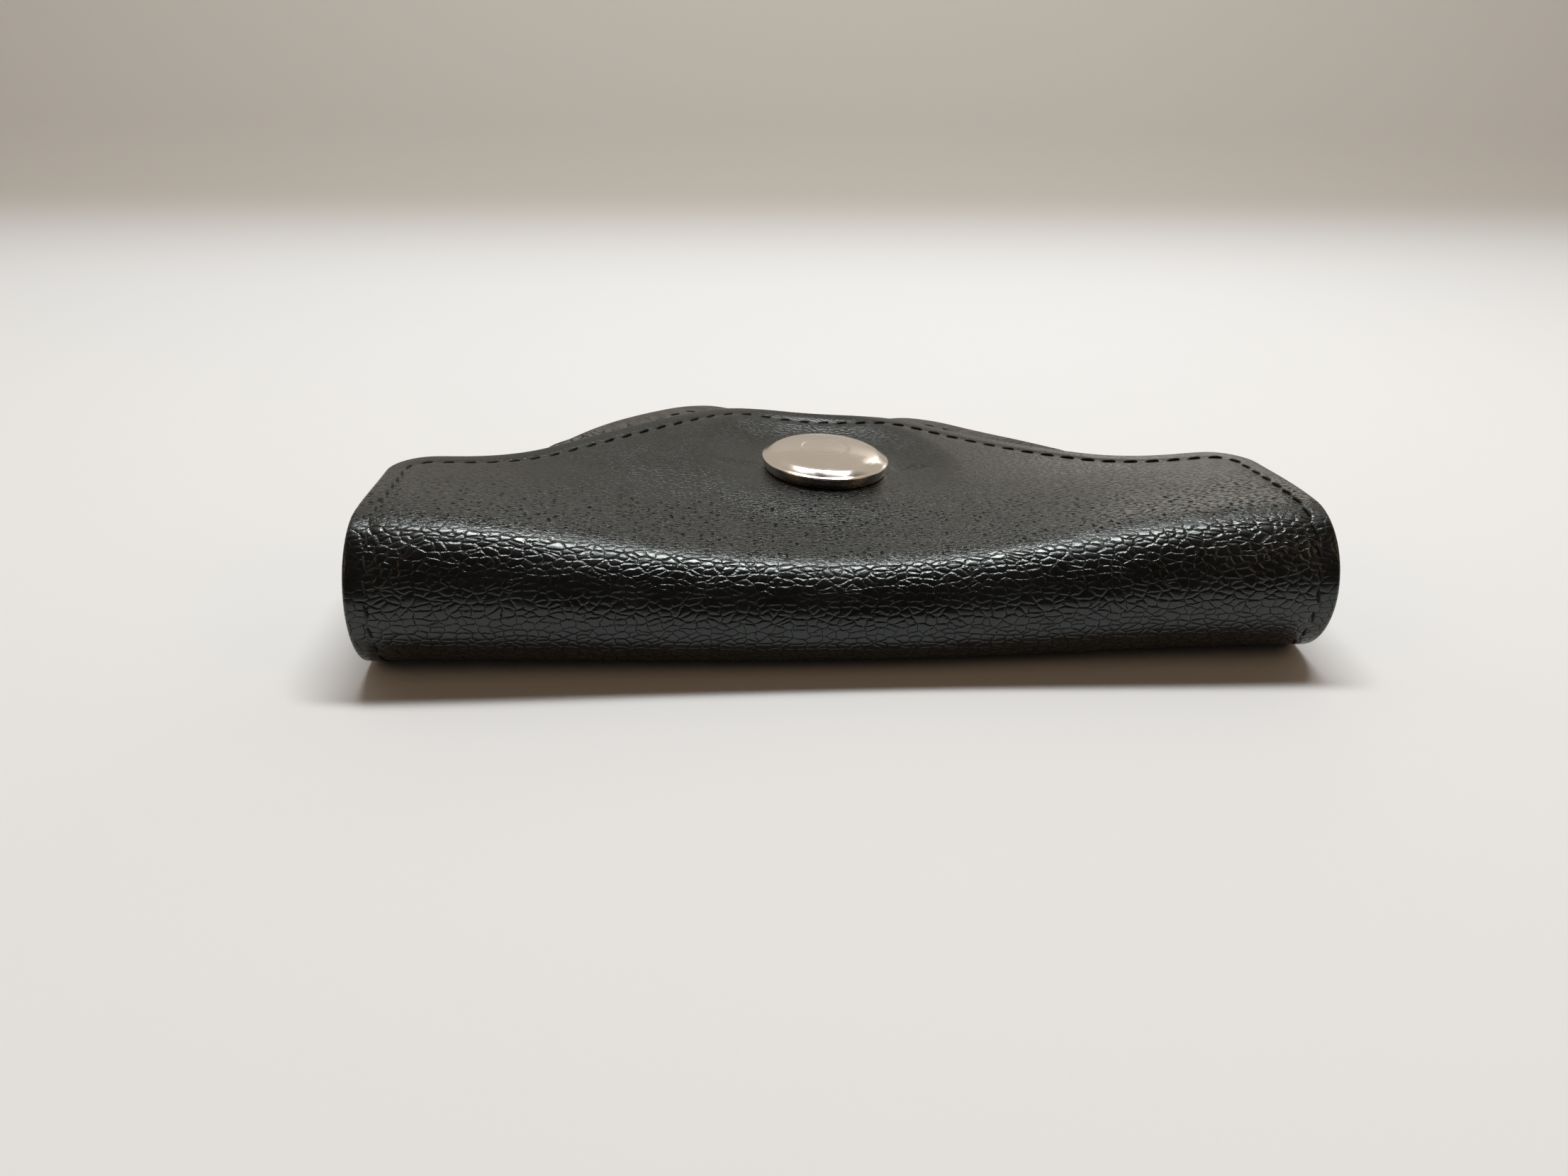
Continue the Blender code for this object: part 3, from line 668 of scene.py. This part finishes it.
def point_value(tree, label):
    """Value that the mesh carries at each point."""
    return node(tree, "Attribute", attribute_name=label, attribute_type="GEOMETRY").outputs["Fac"]


def warped(tree, vector, scale, amount):
    """Vector pushed about by noise."""
    inputs = {"Vector": vector, "Scale": scale, "Detail": 1.0}
    push = node(tree, "TexNoise", inputs, noise_dimensions="2D").outputs["Color"]
    centred = node(tree, "VectorMath", {0: push, 1: (0.5, 0.5, 0.5)}, operation="SUBTRACT").outputs[0]
    scaled = node(tree, "VectorMath", {0: centred, "Scale": amount}, operation="SCALE").outputs[0]
    return node(tree, "VectorMath", {0: vector, 1: scaled}, operation="ADD").outputs[0]


def voronoi(tree, vector, scale, feature, output):
    """One output of a flat Voronoi pattern."""
    inputs = {"Vector": vector, "Scale": scale, "Randomness": 0.95}
    return node(tree, "TexVoronoi", inputs, feature=feature, voronoi_dimensions="2D").outputs[output]


def flat_noise(tree, vector, scale, detail):
    """Flat noise between 0 and 1."""
    inputs = {"Vector": vector, "Scale": scale, "Detail": detail}
    return node(tree, "TexNoise", inputs, noise_dimensions="2D").outputs["Fac"]


def leather_material(name, colour, crease_colour, cell, depth, roughness, gloss):
    """Pebbled leather: domed cells where it is bent, finer flat grain elsewhere, and a painted rim."""
    made, tree, shader = new_material(name)
    cells = surface_vector(tree, *cell)
    for scale, amount in CELL_WARPS:
        cells = warped(tree, cells, scale, amount)
    edges = voronoi(tree, cells, 1.0, "DISTANCE_TO_EDGE", "Distance")
    centre = voronoi(tree, cells, 1.0, "F1", "Distance")
    tint = voronoi(tree, cells, 1.0, "F1", "Color")
    fine = flat_noise(tree, surface_vector(tree, PANEL_CELL_LENGTH, PANEL_CELL_HEIGHT), 1.0, 1.5)
    pores = flat_noise(tree, cells, 7.0, 3.0)
    broad = flat_noise(tree, cells, 0.12, 3.0)
    patches = flat_noise(tree, cells, 0.35, 2.0)
    bend = point_value(tree, "bend")
    inside = maths(tree, "SUBTRACT", 1.0, point_value(tree, "rim"))

    # The panels' grain is strong near the spine and faint at the far edge
    along = node(tree, "SeparateXYZ", {0: surface_uv(tree)}).outputs["Y"]
    near = ramp(tree, along, NEAR_PANEL, FAR_PANEL, 1.0, 0.35)

    # Creases: narrow between the pebbles, and short dashes on the panels
    crease = ramp(tree, edges, 0.0, 0.07, 1.0, 0.0)
    crease = maths(tree, "MULTIPLY", crease, maths(tree, "MULTIPLY_ADD", bend, 0.8, 0.2))
    unbent = maths(tree, "SUBTRACT", 1.0, bend)
    dashes = maths(tree, "MULTIPLY", ramp(tree, fine, 0.36, 0.50, 1.0, 0.0), unbent)
    dashes = maths(tree, "MULTIPLY", dashes, near)
    dashes = maths(tree, "MULTIPLY", dashes, ramp(tree, patches, 0.2, 0.6, 0.6, 1.0))
    crease = maths(tree, "MAXIMUM", crease, dashes)

    # Height: a domed pebble with a rounded edge where bent, and low grain on the panels
    pebble = maths(tree, "MULTIPLY", ramp(tree, edges, -0.05, 0.28), 0.85)
    pebble = maths(tree, "MULTIPLY_ADD", ramp(tree, edges, 0.0, 0.10), 0.12, pebble)
    pebble = maths(tree, "MULTIPLY_ADD", ramp(tree, centre, 0.0, 0.9, 1.0, 0.0), 0.3, pebble)
    low = maths(tree, "MULTIPLY", ramp(tree, fine, 0.3, 0.6), maths(tree, "MULTIPLY_ADD", patches, 0.5, 0.5))
    low = maths(tree, "MULTIPLY", low, near)
    low = maths(tree, "MULTIPLY_ADD", ramp(tree, edges, 0.0, 0.2), 0.08, low)
    height = node(tree, "MapRange", {"Value": bend, "To Min": low, "To Max": pebble}).outputs["Result"]
    height = maths(tree, "MULTIPLY_ADD", pores, 0.06, height)
    height = maths(tree, "MULTIPLY", height, maths(tree, "MULTIPLY_ADD", inside, 0.9, 0.1))
    bump = node(tree, "Bump", {"Height": height, "Strength": 1.0, "Distance": depth})

    colours = mix_colour(tree, maths(tree, "MULTIPLY", crease, inside), colour, crease_colour)
    shade = ramp(tree, tint, 0.0, 1.0, 0.75, 1.25)
    shade = maths(tree, "MULTIPLY", shade, ramp(tree, broad, 0.3, 0.7, 0.85, 1.15))
    shaded = node(tree, "VectorMath", {0: colours, "Scale": shade}, operation="SCALE").outputs[0]
    rough = maths(tree, "MULTIPLY_ADD", pores, 0.10, roughness - 0.05)
    rough = maths(tree, "MULTIPLY_ADD", bend, -0.03, rough)
    rough = maths(tree, "MULTIPLY_ADD", crease, 0.35, rough)
    rough = maths(tree, "ADD", rough, ramp(tree, broad, 0.3, 0.7, -0.03, 0.03))
    tree.links.new(shaded, shader.inputs["Base Color"])
    tree.links.new(rough, shader.inputs["Roughness"])
    tree.links.new(ramp(tree, crease, 0.3, 1.0, gloss, 0.1 * gloss), shader.inputs["Specular IOR Level"])
    shader.inputs["Specular Tint"].default_value = (0.90, 0.99, 0.98, 1.0)
    tree.links.new(bump.outputs["Normal"], shader.inputs["Normal"])
    return made


def thread_material():
    """Black twisted thread."""
    made, tree, shader = new_material("black_thread")
    split = node(tree, "SeparateXYZ", {0: surface_uv(tree)})
    turn = maths(tree, "DIVIDE", split.outputs["Y"], 2 * pi * THREAD_RADIUS)
    lay = maths(tree, "DIVIDE", split.outputs["X"], STRAND_LAY)
    wave = maths(tree, "SINE", maths(tree, "MULTIPLY", maths(tree, "ADD", lay, turn), 2 * pi * STRANDS))
    bump = node(tree, "Bump", {"Height": wave, "Strength": 1.0, "Distance": 0.000015})
    colours = mix_colour(tree, ramp(tree, wave, -1.0, 1.0), (0.008, 0.008, 0.008), (0.018, 0.018, 0.018))
    tree.links.new(colours, shader.inputs["Base Color"])
    tree.links.new(ramp(tree, wave, -1.0, 1.0, 0.8, 0.65), shader.inputs["Roughness"])
    shader.inputs["Specular IOR Level"].default_value = 0.25
    tree.links.new(bump.outputs["Normal"], shader.inputs["Normal"])
    return made


def metal_material(name, colour, roughness, scratch):
    """Polished metal with faint smears and fine scratches."""
    made, tree, shader = new_material(name)
    place = node(tree, "TexCoord").outputs["Object"]
    inputs = {"Vector": place, "Scale": 260.0, "Detail": 4.0, "Distortion": 0.6}
    smear = node(tree, "TexNoise", inputs).outputs["Fac"]
    stretch = (300.0, 9000.0, 600.0)
    lines = node(tree, "VectorMath", {0: place, 1: stretch}, operation="MULTIPLY").outputs[0]
    fine = node(tree, "TexNoise", {"Vector": lines, "Scale": 1.0, "Detail": 2.0}).outputs["Fac"]
    colours = mix_colour(tree, smear, colour, [0.93 * part for part in colour])
    rough = ramp(tree, smear, 0.3, 0.75, roughness * 0.7, roughness * 1.5)
    bump = node(tree, "Bump", {"Height": fine, "Strength": 1.0, "Distance": scratch})
    tree.links.new(colours, shader.inputs["Base Color"])
    tree.links.new(rough, shader.inputs["Roughness"])
    tree.links.new(bump.outputs["Normal"], shader.inputs["Normal"])
    shader.inputs["Metallic"].default_value = 1.0
    return made


# Object


def undulation(points):
    """Slow rise and fall of the leather's face."""
    sizes = (UNDULATION_LENGTH, UNDULATION_WIDTH, UNDULATION_WIDTH)
    return np.array([noise.noise(Vector(place)) for place in points / sizes])


def shell_relief(seam, amount):
    """Function for the outward relief of outer leather: the seam's groove, undulation and puckers."""

    def relief(points):
        x, y, z = np.abs(points[:, 0]), points[:, 1], points[:, 2]
        groove = -GROOVE_DEPTH * np.exp(-((seam.distance(points) / GROOVE_WIDTH) ** 2))
        away = smooth((np.hypot(x, y - SNAP_REACH) - CAP_RADIUS) / LEVEL_RUN)
        off_table = smooth(z / RELIEF_START_HEIGHT)
        beside = smooth((x - PUCKER_START) / PUCKER_START_RUN)
        beside = beside * (1 - smooth((x - PUCKER_END) / PUCKER_END_RUN))
        across = np.exp(-(((y - SNAP_REACH - PUCKER_OFFSET) / PUCKER_WIDTH) ** 2))
        pucker = -PUCKER_DEPTH * beside * across
        return groove + (amount * undulation(points) * away + pucker) * off_table

    return relief


def gusset(name, side, material):
    """Folded gusset: one thin sheet whose crease points into the case."""
    root_x = HALF_WIDTH - GUSSET_ROOT_INSET
    y = np.linspace(GUSSET_START, GUSSET_REACH, GUSSET_ROWS)[:, None]
    t = np.linspace(-1.0, 1.0, GUSSET_COLUMNS)[None, :]
    inset = SHEET_DEPTH + GUSSET_GAP
    radius = float(spine_radius(root_x))
    round_gap = np.sqrt(np.clip((radius - inset) ** 2 - (radius - np.minimum(y, radius)) ** 2, 0.0, None))
    top = flap_height(np.full_like(y, root_x), np.maximum(y, radius)) - inset
    low = np.where(y < radius, radius - round_gap, inset)
    high = np.where(y < radius, radius + round_gap, top)
    share = ((y - GUSSET_START) / (GUSSET_REACH - GUSSET_START)) ** GUSSET_WIDTH_POWER
    width = GUSSET_START_WIDTH + (GUSSET_MOUTH_WIDTH - GUSSET_START_WIDTH) * share
    soft = GUSSET_CREASE_SOFTNESS
    fold = (np.sqrt(t**2 + soft**2) - soft) / (sqrt(1 + soft**2) - soft)
    bulge = GUSSET_BULGE * np.sin(pi * np.abs(t)) * (width / GUSSET_MOUTH_WIDTH)
    x = side * (root_x - width * (1 - fold))
    z = (low + high) / 2 + t * (high - low) / 2 + np.sign(t) * bulge
    points = np.stack([x + 0 * z, y + 0 * z, z], axis=-1)
    normals = grid_normals(points)
    lengths = np.cumsum(np.linalg.norm(np.diff(points, axis=1), axis=-1), axis=1)
    lengths = np.concatenate([np.zeros((GUSSET_ROWS, 1)), lengths], axis=1)
    uv = np.stack([y + 0 * t, lengths], axis=-1).reshape(-1, 2)
    layers = [points + normals * side * depth for depth in (0.0, GUSSET_THICKNESS)]
    verts = np.concatenate([layer.reshape(-1, 3) for layer in layers])
    one, other = border(GUSSET_ROWS, GUSSET_COLUMNS)
    flat = one * GUSSET_COLUMNS + other
    size = GUSSET_ROWS * GUSSET_COLUMNS
    faces = np.concatenate([
        grid_faces(GUSSET_ROWS, GUSSET_COLUMNS, 0),
        grid_faces(GUSSET_ROWS, GUSSET_COLUMNS, size)[:, ::-1],
        band_faces(flat, flat + size),
    ])
    values = {"rim": np.zeros(len(verts))}
    return add_piece(name, verts, faces.tolist(), material, values, np.concatenate([uv, uv]))


def cap_dome(radius):
    """Height of the cap's dome, which falls off more steeply outside its ring."""
    top = SEAT_HEIGHT + SEAT_GAP + CAP_WALL_HEIGHT
    outside = max(0.0, radius - CAP_RING_RADIUS) / (CAP_RADIUS - CAP_RING_RADIUS)
    fall = CAP_DOME_FALL * (radius / CAP_RING_RADIUS) ** 2
    return top + CAP_DOME_RISE * (1 - fall - CAP_EDGE_FALL * outside - CAP_EDGE_CURVE * outside**2)


def cap_profile():
    """Radius and height down the cap, from the top of its dome to the end of its flared shank."""
    disc, ring, line = CAP_DISC_RADIUS, CAP_RING_RADIUS, CAP_LINE_HALF_WIDTH
    edge, step = CAP_EDGE_ROUND, CAP_LINE_DEPTH
    cap = [(0.0, cap_dome(0.0) - step)]
    cap += [(disc * share, cap_dome(disc * share) - step) for share in np.linspace(0.15, 0.96, 7)]
    cap += [(disc, cap_dome(disc) - step / 2), (disc + CAP_STEP_RUN, cap_dome(disc))]
    cap += [(radius, cap_dome(radius)) for radius in np.linspace(disc + CAP_STEP_CLEAR, ring - 2 * line, 14)]
    cap += [(ring - line, cap_dome(ring - line)), (ring, cap_dome(ring) - step / 2)]
    cap += [(ring + line, cap_dome(ring + line))]
    cap += [(radius, cap_dome(radius)) for radius in np.linspace(ring + 2 * line, CAP_RADIUS - edge, 5)]
    shoulder = cap_dome(CAP_RADIUS - edge) - edge
    for angle in np.linspace(radians(42), radians(90), 6):
        cap.append((CAP_RADIUS - edge + edge * sin(angle), shoulder + edge * cos(angle)))
    foot = CAP_RADIUS - CAP_WALL_TAPER - edge
    bottom = SEAT_HEIGHT + CAP_CONTACT_GAP
    for angle in np.linspace(radians(15), radians(90), 6):
        cap.append((foot + edge * cos(angle), bottom + edge - edge * sin(angle)))
    rim = CAP_RADIUS - CAP_RIM_TURN
    inside = bottom + CAP_SHEET
    flare = SEAT_HEIGHT - SHEET_DEPTH - SEAT_GAP - SOCKET_PLATE
    end = flare - FLARE_THICKNESS
    cap += [(rim, bottom), (rim, inside), (SHANK_RADIUS, inside), (SHANK_RADIUS, flare)]
    return cap + [(FLARE_RADIUS, flare - METAL_CONTACT_GAP), (FLARE_RADIUS, end), (0.0, end)]


def spring_height():
    """Height of the middle of the spring ring and of its groove."""
    return SEAT_HEIGHT - SHEET_DEPTH - SEAT_GAP - SOCKET_HEIGHT * SPRING_DEPTH_SHARE


def socket_profile():
    """Radius and height round the socket's section."""
    top = SEAT_HEIGHT - SHEET_DEPTH - METAL_CONTACT_GAP
    low = SEAT_HEIGHT - SHEET_DEPTH - SEAT_GAP - SOCKET_HEIGHT
    plate = top - SOCKET_PLATE
    groove = spring_height()
    half = SPRING_WIRE_RADIUS + SEAT_GAP
    bore = SPRING_INNER_RADIUS + SPRING_WIRE_RADIUS
    deep = bore + half
    barrel = deep + SOCKET_PLATE
    hole = SHANK_RADIUS + SEAT_GAP
    section = [(hole, top)]
    for angle in np.linspace(0, pi / 2, 5):
        out = SOCKET_RADIUS - METAL_ROUND + METAL_ROUND * sin(angle)
        section.append((out, top - METAL_ROUND + METAL_ROUND * cos(angle)))
    section += [(SOCKET_RADIUS, plate - METAL_ROUND), (barrel + METAL_ROUND, plate - 2 * METAL_ROUND)]
    section += [(barrel, low + METAL_ROUND)]
    for angle in np.linspace(0, pi / 2, 5):
        out = barrel - METAL_ROUND + METAL_ROUND * cos(angle)
        section.append((out, low + METAL_ROUND * (1 - sin(angle))))
    section += [(bore + METAL_ROUND, low), (bore, low + METAL_ROUND)]
    section += [(bore, groove - half), (deep, groove - half), (deep, groove + half), (bore, groove + half)]
    return section + [(bore, plate), (hole, plate)]


def stud_profile():
    """Radius and height round the stud's section."""
    base = SEAT_HEIGHT - SHEET_DEPTH - TABS_APART + METAL_CONTACT_GAP
    top = base + STUD_HEIGHT
    flange = base + STUD_FLANGE_THICKNESS
    half = STUD_FLANGE_THICKNESS / 2
    hole = SHANK_RADIUS + SEAT_GAP
    pocket = FLARE_RADIUS + SEAT_GAP
    seat = top - FLARE_THICKNESS - 2 * SEAT_GAP
    neck_top = flange + (top - flange) / 3
    middle = (neck_top + top) / 2
    section = [(hole, base), (STUD_FLANGE_RADIUS - METAL_ROUND, base)]
    for angle in np.linspace(-pi / 2, pi / 2, 7)[1:-1]:
        section.append((STUD_FLANGE_RADIUS - half + half * cos(angle), base + half + half * sin(angle)))
    section += [(STUD_NECK_RADIUS + 2 * METAL_ROUND, flange)]
    section += [(STUD_NECK_RADIUS + METAL_ROUND / 2, flange + METAL_ROUND), (STUD_NECK_RADIUS, neck_top)]
    for angle in np.linspace(-pi / 2, pi / 2, 9)[1:-1]:
        out = STUD_NECK_RADIUS + (STUD_BALL_RADIUS - STUD_NECK_RADIUS) * cos(angle)
        section.append((out, middle + (top - neck_top) / 2 * sin(angle)))
    return section + [(pocket, top), (pocket, seat), (hole, seat)]


def post_profile():
    """Radius and height of the post, from its flare down to its head."""
    top = SEAT_HEIGHT - SHEET_DEPTH - TABS_APART + STUD_HEIGHT - METAL_ROUND
    flare = top - FLARE_THICKNESS
    head = SEAT_HEIGHT - 2 * SHEET_DEPTH - TABS_APART - METAL_CONTACT_GAP
    low = head - POST_HEAD_THICKNESS
    section = [(0.0, top), (FLARE_RADIUS, top), (FLARE_RADIUS, flare), (SHANK_RADIUS, flare)]
    section += [(SHANK_RADIUS, head), (POST_HEAD_RADIUS - METAL_ROUND, head)]
    for share in np.linspace(0.05, 1.0, 9):
        angle = share * pi / 2
        out = POST_HEAD_RADIUS - 4 * METAL_ROUND * (1 - cos(angle))
        section.append((out, head - POST_HEAD_THICKNESS * sin(angle)))
    return section + [(POST_HEAD_RADIUS / 2, low), (0.0, low)]


def spring_ring(material):
    """Open ring of wire in the socket's groove."""
    height = spring_height()
    ring = SPRING_INNER_RADIUS + SPRING_WIRE_RADIUS
    turns, sides = 64, 12
    verts = []
    for turn in np.linspace(0, 2 * pi * SPRING_TURN_SHARE, turns):
        for angle in np.linspace(0, 2 * pi, sides + 1)[:-1]:
            out = ring + SPRING_WIRE_RADIUS * cos(angle)
            up = height + SPRING_WIRE_RADIUS * sin(angle)
            verts.append((out * cos(turn), SNAP_REACH + out * sin(turn), up))
    faces = [tuple(range(sides)), tuple(range((turns - 1) * sides, turns * sides))]
    for turn in range(turns - 1):
        near, far = turn * sides, (turn + 1) * sides
        for side in range(sides):
            after = (side + 1) % sides
            faces.append((near + side, near + after, far + after, far + side))
    return add_metal("press_stud_spring", verts, faces, material)


def build_object():
    """Make every piece, parent the back shell and stud parts to bodies, and hide the pieces they replace."""
    outer = leather_material(
        "outer_leather", (0.0045, 0.0045, 0.0048), (0.0008, 0.0008, 0.0008),
        cell=(CELL_LENGTH, CELL_HEIGHT), depth=0.00005, roughness=0.25, gloss=0.62,
    )
    lining = leather_material(
        "lining", (0.062, 0.054, 0.048), (0.052, 0.045, 0.040),
        cell=(0.0012, 0.0010), depth=0.00002, roughness=0.55, gloss=0.4,
    )
    soft = leather_material(
        "gusset_leather", (0.011, 0.011, 0.011), (0.009, 0.009, 0.009),
        cell=(0.0012, 0.0008), depth=0.00002, roughness=0.5, gloss=0.4,
    )
    thread = thread_material()
    nickel = metal_material("pale_nickel", (0.80, 0.74, 0.68), roughness=0.14, scratch=0.0000004)
    steel = metal_material("spring_steel", (0.55, 0.55, 0.56), roughness=0.3, scratch=0.000001)

    flap_seam = Seam(FLAP_CORNERS, flap_height, True, 1.0)
    back_seam = Seam(BACK_CORNERS, back_height, False, -1.0)
    rounds, thin_rounds = (EDGE_ROUND, INNER_EDGE_ROUND), (LINING_ROUND, LINING_ROUND)
    inside = LEATHER_THICKNESS + LINING_GAP
    flap = slab(
        "flap_leather", flap_grid, -1.0, 0.0, LEATHER_THICKNESS, 0.0, rounds, 1.0, outer,
        shell_relief(flap_seam, FLAP_UNDULATION),
    )
    back = slab(
        "back_leather", back_grid, 1.0, 0.0, LEATHER_THICKNESS, 0.0, rounds, 1.0, outer,
        shell_relief(back_seam, BACK_UNDULATION),
    )
    flap_lining = slab(
        "flap_lining", flap_grid, -1.0, inside, SHEET_DEPTH - inside, LINING_INSET, thin_rounds,
        LINING_SHARE, lining,
    )
    back_lining = slab(
        "back_lining", back_grid, 1.0, inside, SHEET_DEPTH - inside, LINING_INSET, thin_rounds,
        LINING_SHARE, lining,
    )
    flap_thread = add_thread("flap_thread", flap_seam, SHEET_DEPTH, thread)
    back_thread = add_thread("back_thread", back_seam, SHEET_DEPTH, thread)

    for piece, slot, nodes in (
        (flap, "outer_leather", ["outer_leather_flap"]),
        (flap_lining, "lining", ["lining_flap"]),
        (flap_thread, "outer_leather", []),
    ):
        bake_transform(piece)
        if nodes:
            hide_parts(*nodes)
    for piece, slot, nodes in (
        (back, "outer_leather", ["outer_leather_back"]),
        (back_lining, "lining", ["lining_back"]),
        (back_thread, "outer_leather", []),
    ):
        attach(piece, "back_shell")
        if nodes:
            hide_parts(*nodes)
    for label, side in (("left", -1.0), ("right", 1.0)):
        fold = gusset("gusset_" + label, side, soft)
        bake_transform(fold)
        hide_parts("gusset_" + label + "_lower", "gusset_" + label + "_upper")

    cap = lathe("press_stud_cap", cap_profile(), CAP_SEGMENTS, nickel)
    socket = lathe("press_stud_socket", socket_profile(), TURNED_SEGMENTS, nickel)
    spring = spring_ring(steel)
    stud = lathe("press_stud_stud", stud_profile(), TURNED_SEGMENTS, nickel)
    post = lathe("press_stud_post", post_profile(), TURNED_SEGMENTS, nickel)
    for piece, body, slot, replaced in (
        (cap, "flap", "pale_nickel", "snap_cap"),
        (socket, "flap", "pale_nickel", "snap_socket"),
        (spring, "flap", "spring_steel", "snap_spring"),
        (stud, "back_shell", "pale_nickel", "snap_stud"),
        (post, "back_shell", "pale_nickel", "snap_post"),
    ):
        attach(piece, body)
        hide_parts(replaced)


# Stage, light and camera

FLOOR_COLOUR = (0.765, 0.782, 0.79)
BACKDROP_COLOUR = (0.51, 0.485, 0.44)
BACKDROP_START_HEIGHT = 0.0003
BACKDROP_FULL_HEIGHT = 0.016
PALE_COLOUR = (0.98, 0.90, 0.83)
PALE_START_HEIGHT = 0.066
PALE_FULL_HEIGHT = 0.09
PALE_START_ASIDE = 0.03
PALE_FULL_ASIDE = 0.14
FLOOR_HALF_WIDTH = 1.2
FLOOR_FRONT = -0.9
SWEEP_START = 0.16
SWEEP_RADIUS = 0.08
SWEEP_ANGLE = radians(52)
SWEEP_STEPS = 12
BACKDROP_LENGTH = 0.16


def stage():
    """Pale floor that sweeps up into a warm grey backdrop, with a paler side that the flap mirrors."""
    made, tree, shader = new_material("pale_cloth")
    place = node(tree, "TexCoord").outputs["Object"]
    split = node(tree, "SeparateXYZ", {0: place})
    height = split.outputs["Z"]
    raised = ramp(tree, height, BACKDROP_START_HEIGHT, BACKDROP_FULL_HEIGHT)
    colour = mix_colour(tree, raised, FLOOR_COLOUR, BACKDROP_COLOUR)
    aside = ramp(tree, split.outputs["X"], PALE_START_ASIDE, PALE_FULL_ASIDE)
    pale = maths(tree, "MULTIPLY", ramp(tree, height, PALE_START_HEIGHT, PALE_FULL_HEIGHT), aside)
    tree.links.new(mix_colour(tree, pale, colour, PALE_COLOUR), shader.inputs["Base Color"])
    shader.inputs["Roughness"].default_value = 0.9
    shader.inputs["Specular IOR Level"].default_value = 0.1
    profile = [(FLOOR_FRONT, 0.0), (SWEEP_START, 0.0)]
    for angle in np.linspace(0, SWEEP_ANGLE, SWEEP_STEPS + 1)[1:]:
        profile.append((SWEEP_START + SWEEP_RADIUS * sin(angle), SWEEP_RADIUS * (1 - cos(angle))))
    y, z = profile[-1]
    profile.append((y + BACKDROP_LENGTH * cos(SWEEP_ANGLE), z + BACKDROP_LENGTH * sin(SWEEP_ANGLE)))
    verts = [(x, y, z) for x in (-FLOOR_HALF_WIDTH, FLOOR_HALF_WIDTH) for y, z in profile]
    count = len(profile)
    faces = [(index, index + 1, count + index + 1, count + index) for index in range(count - 1)]
    mesh = bpy.data.meshes.new("floor")
    mesh.from_pydata(verts, [], faces)
    mesh.materials.append(made)
    mesh.shade_smooth()
    floor = bpy.data.objects.new("floor", mesh)
    bpy.context.scene.collection.objects.link(floor)


def area_lamp(name, size, place, aim, power, colour, spread=pi):
    """Rectangular soft lamp turned to a point, and never seen itself."""
    data = bpy.data.lights.new(name, "AREA")
    data.shape = "RECTANGLE"
    data.size, data.size_y = size
    data.energy = power
    data.spread = spread
    data.color = colour
    lamp = bpy.data.objects.new(name, data)
    lamp.location = place
    lamp.rotation_euler = (Vector(aim) - Vector(place)).to_track_quat("-Z", "Y").to_euler()
    lamp.visible_camera = False
    bpy.context.scene.collection.objects.link(lamp)


def lights():
    """Soft lamp overhead, warm bounce from the sides, faint rear glow, and a world that is dark in front."""
    area_lamp("overhead", (0.40, 0.08), (0.03, 0.145, 0.55), (0.0, -0.01, 0.0), 2.95, (1.0, 0.995, 0.99))
    for side in (-1, 1):
        place = (side * 0.42, FRONT_Y - 0.16, 0.30)
        area_lamp("side_bounce", (0.25, 0.25), place, (0.0, FRONT_Y, 0.0), 0.20, (1.0, 0.62, 0.36))
    area_lamp(
        "rear_glow", (0.10, 0.06), (0.143, 0.262, 0.145), (0.03, 0.0, 0.015), 0.0086, (1.0, 0.93, 0.86),
        spread=pi / 2,
    )
    world = bpy.data.worlds.new("studio")
    world.use_nodes = True
    tree = world.node_tree
    toward = node(tree, "SeparateXYZ", {0: node(tree, "TexCoord").outputs["Generated"]}).outputs["Y"]
    colour = mix_colour(tree, ramp(tree, toward, 0.12, 0.40), (0.05, 0.041, 0.033), (0.52, 0.47, 0.40))
    tree.links.new(colour, tree.nodes["Background"].inputs["Color"])
    bpy.context.scene.world = world


PHOTO_WIDTH = 2212
FOCAL_PIXELS = 1662.0
SENSOR_MM = 36.0
EYE_HEIGHT = 0.0631
EYE_AWAY = 0.10433
EYE_ASIDE = 0.00703
PITCH = radians(26.7)
YAW = radians(3.94)
ROLL = radians(-0.93)


def camera():
    """Camera at the photograph's place and angle."""
    data = bpy.data.cameras.new("camera")
    data.sensor_width = SENSOR_MM
    data.lens = FOCAL_PIXELS * SENSOR_MM / PHOTO_WIDTH
    data.clip_start = 0.001
    ahead = Vector((sin(YAW) * cos(PITCH), cos(YAW) * cos(PITCH), -sin(PITCH)))
    level = Vector((cos(YAW), -sin(YAW), 0.0))
    upward = level.cross(ahead)
    right = level * cos(ROLL) - upward * sin(ROLL)
    above = level * sin(ROLL) + upward * cos(ROLL)
    place = Vector((
        -cos(YAW) * EYE_ASIDE - sin(YAW) * EYE_AWAY,
        sin(YAW) * EYE_ASIDE - cos(YAW) * EYE_AWAY + FRONT_Y,
        EYE_HEIGHT,
    ))
    seen = bpy.data.objects.new("camera", data)
    turn = Matrix((right, above, -ahead)).transposed().to_4x4()
    seen.matrix_world = Matrix.Translation(place) @ turn
    bpy.context.scene.collection.objects.link(seen)
    bpy.context.scene.camera = seen


build_object()
stage()
lights()
camera()
bpy.context.scene.view_settings.view_transform = "Standard"
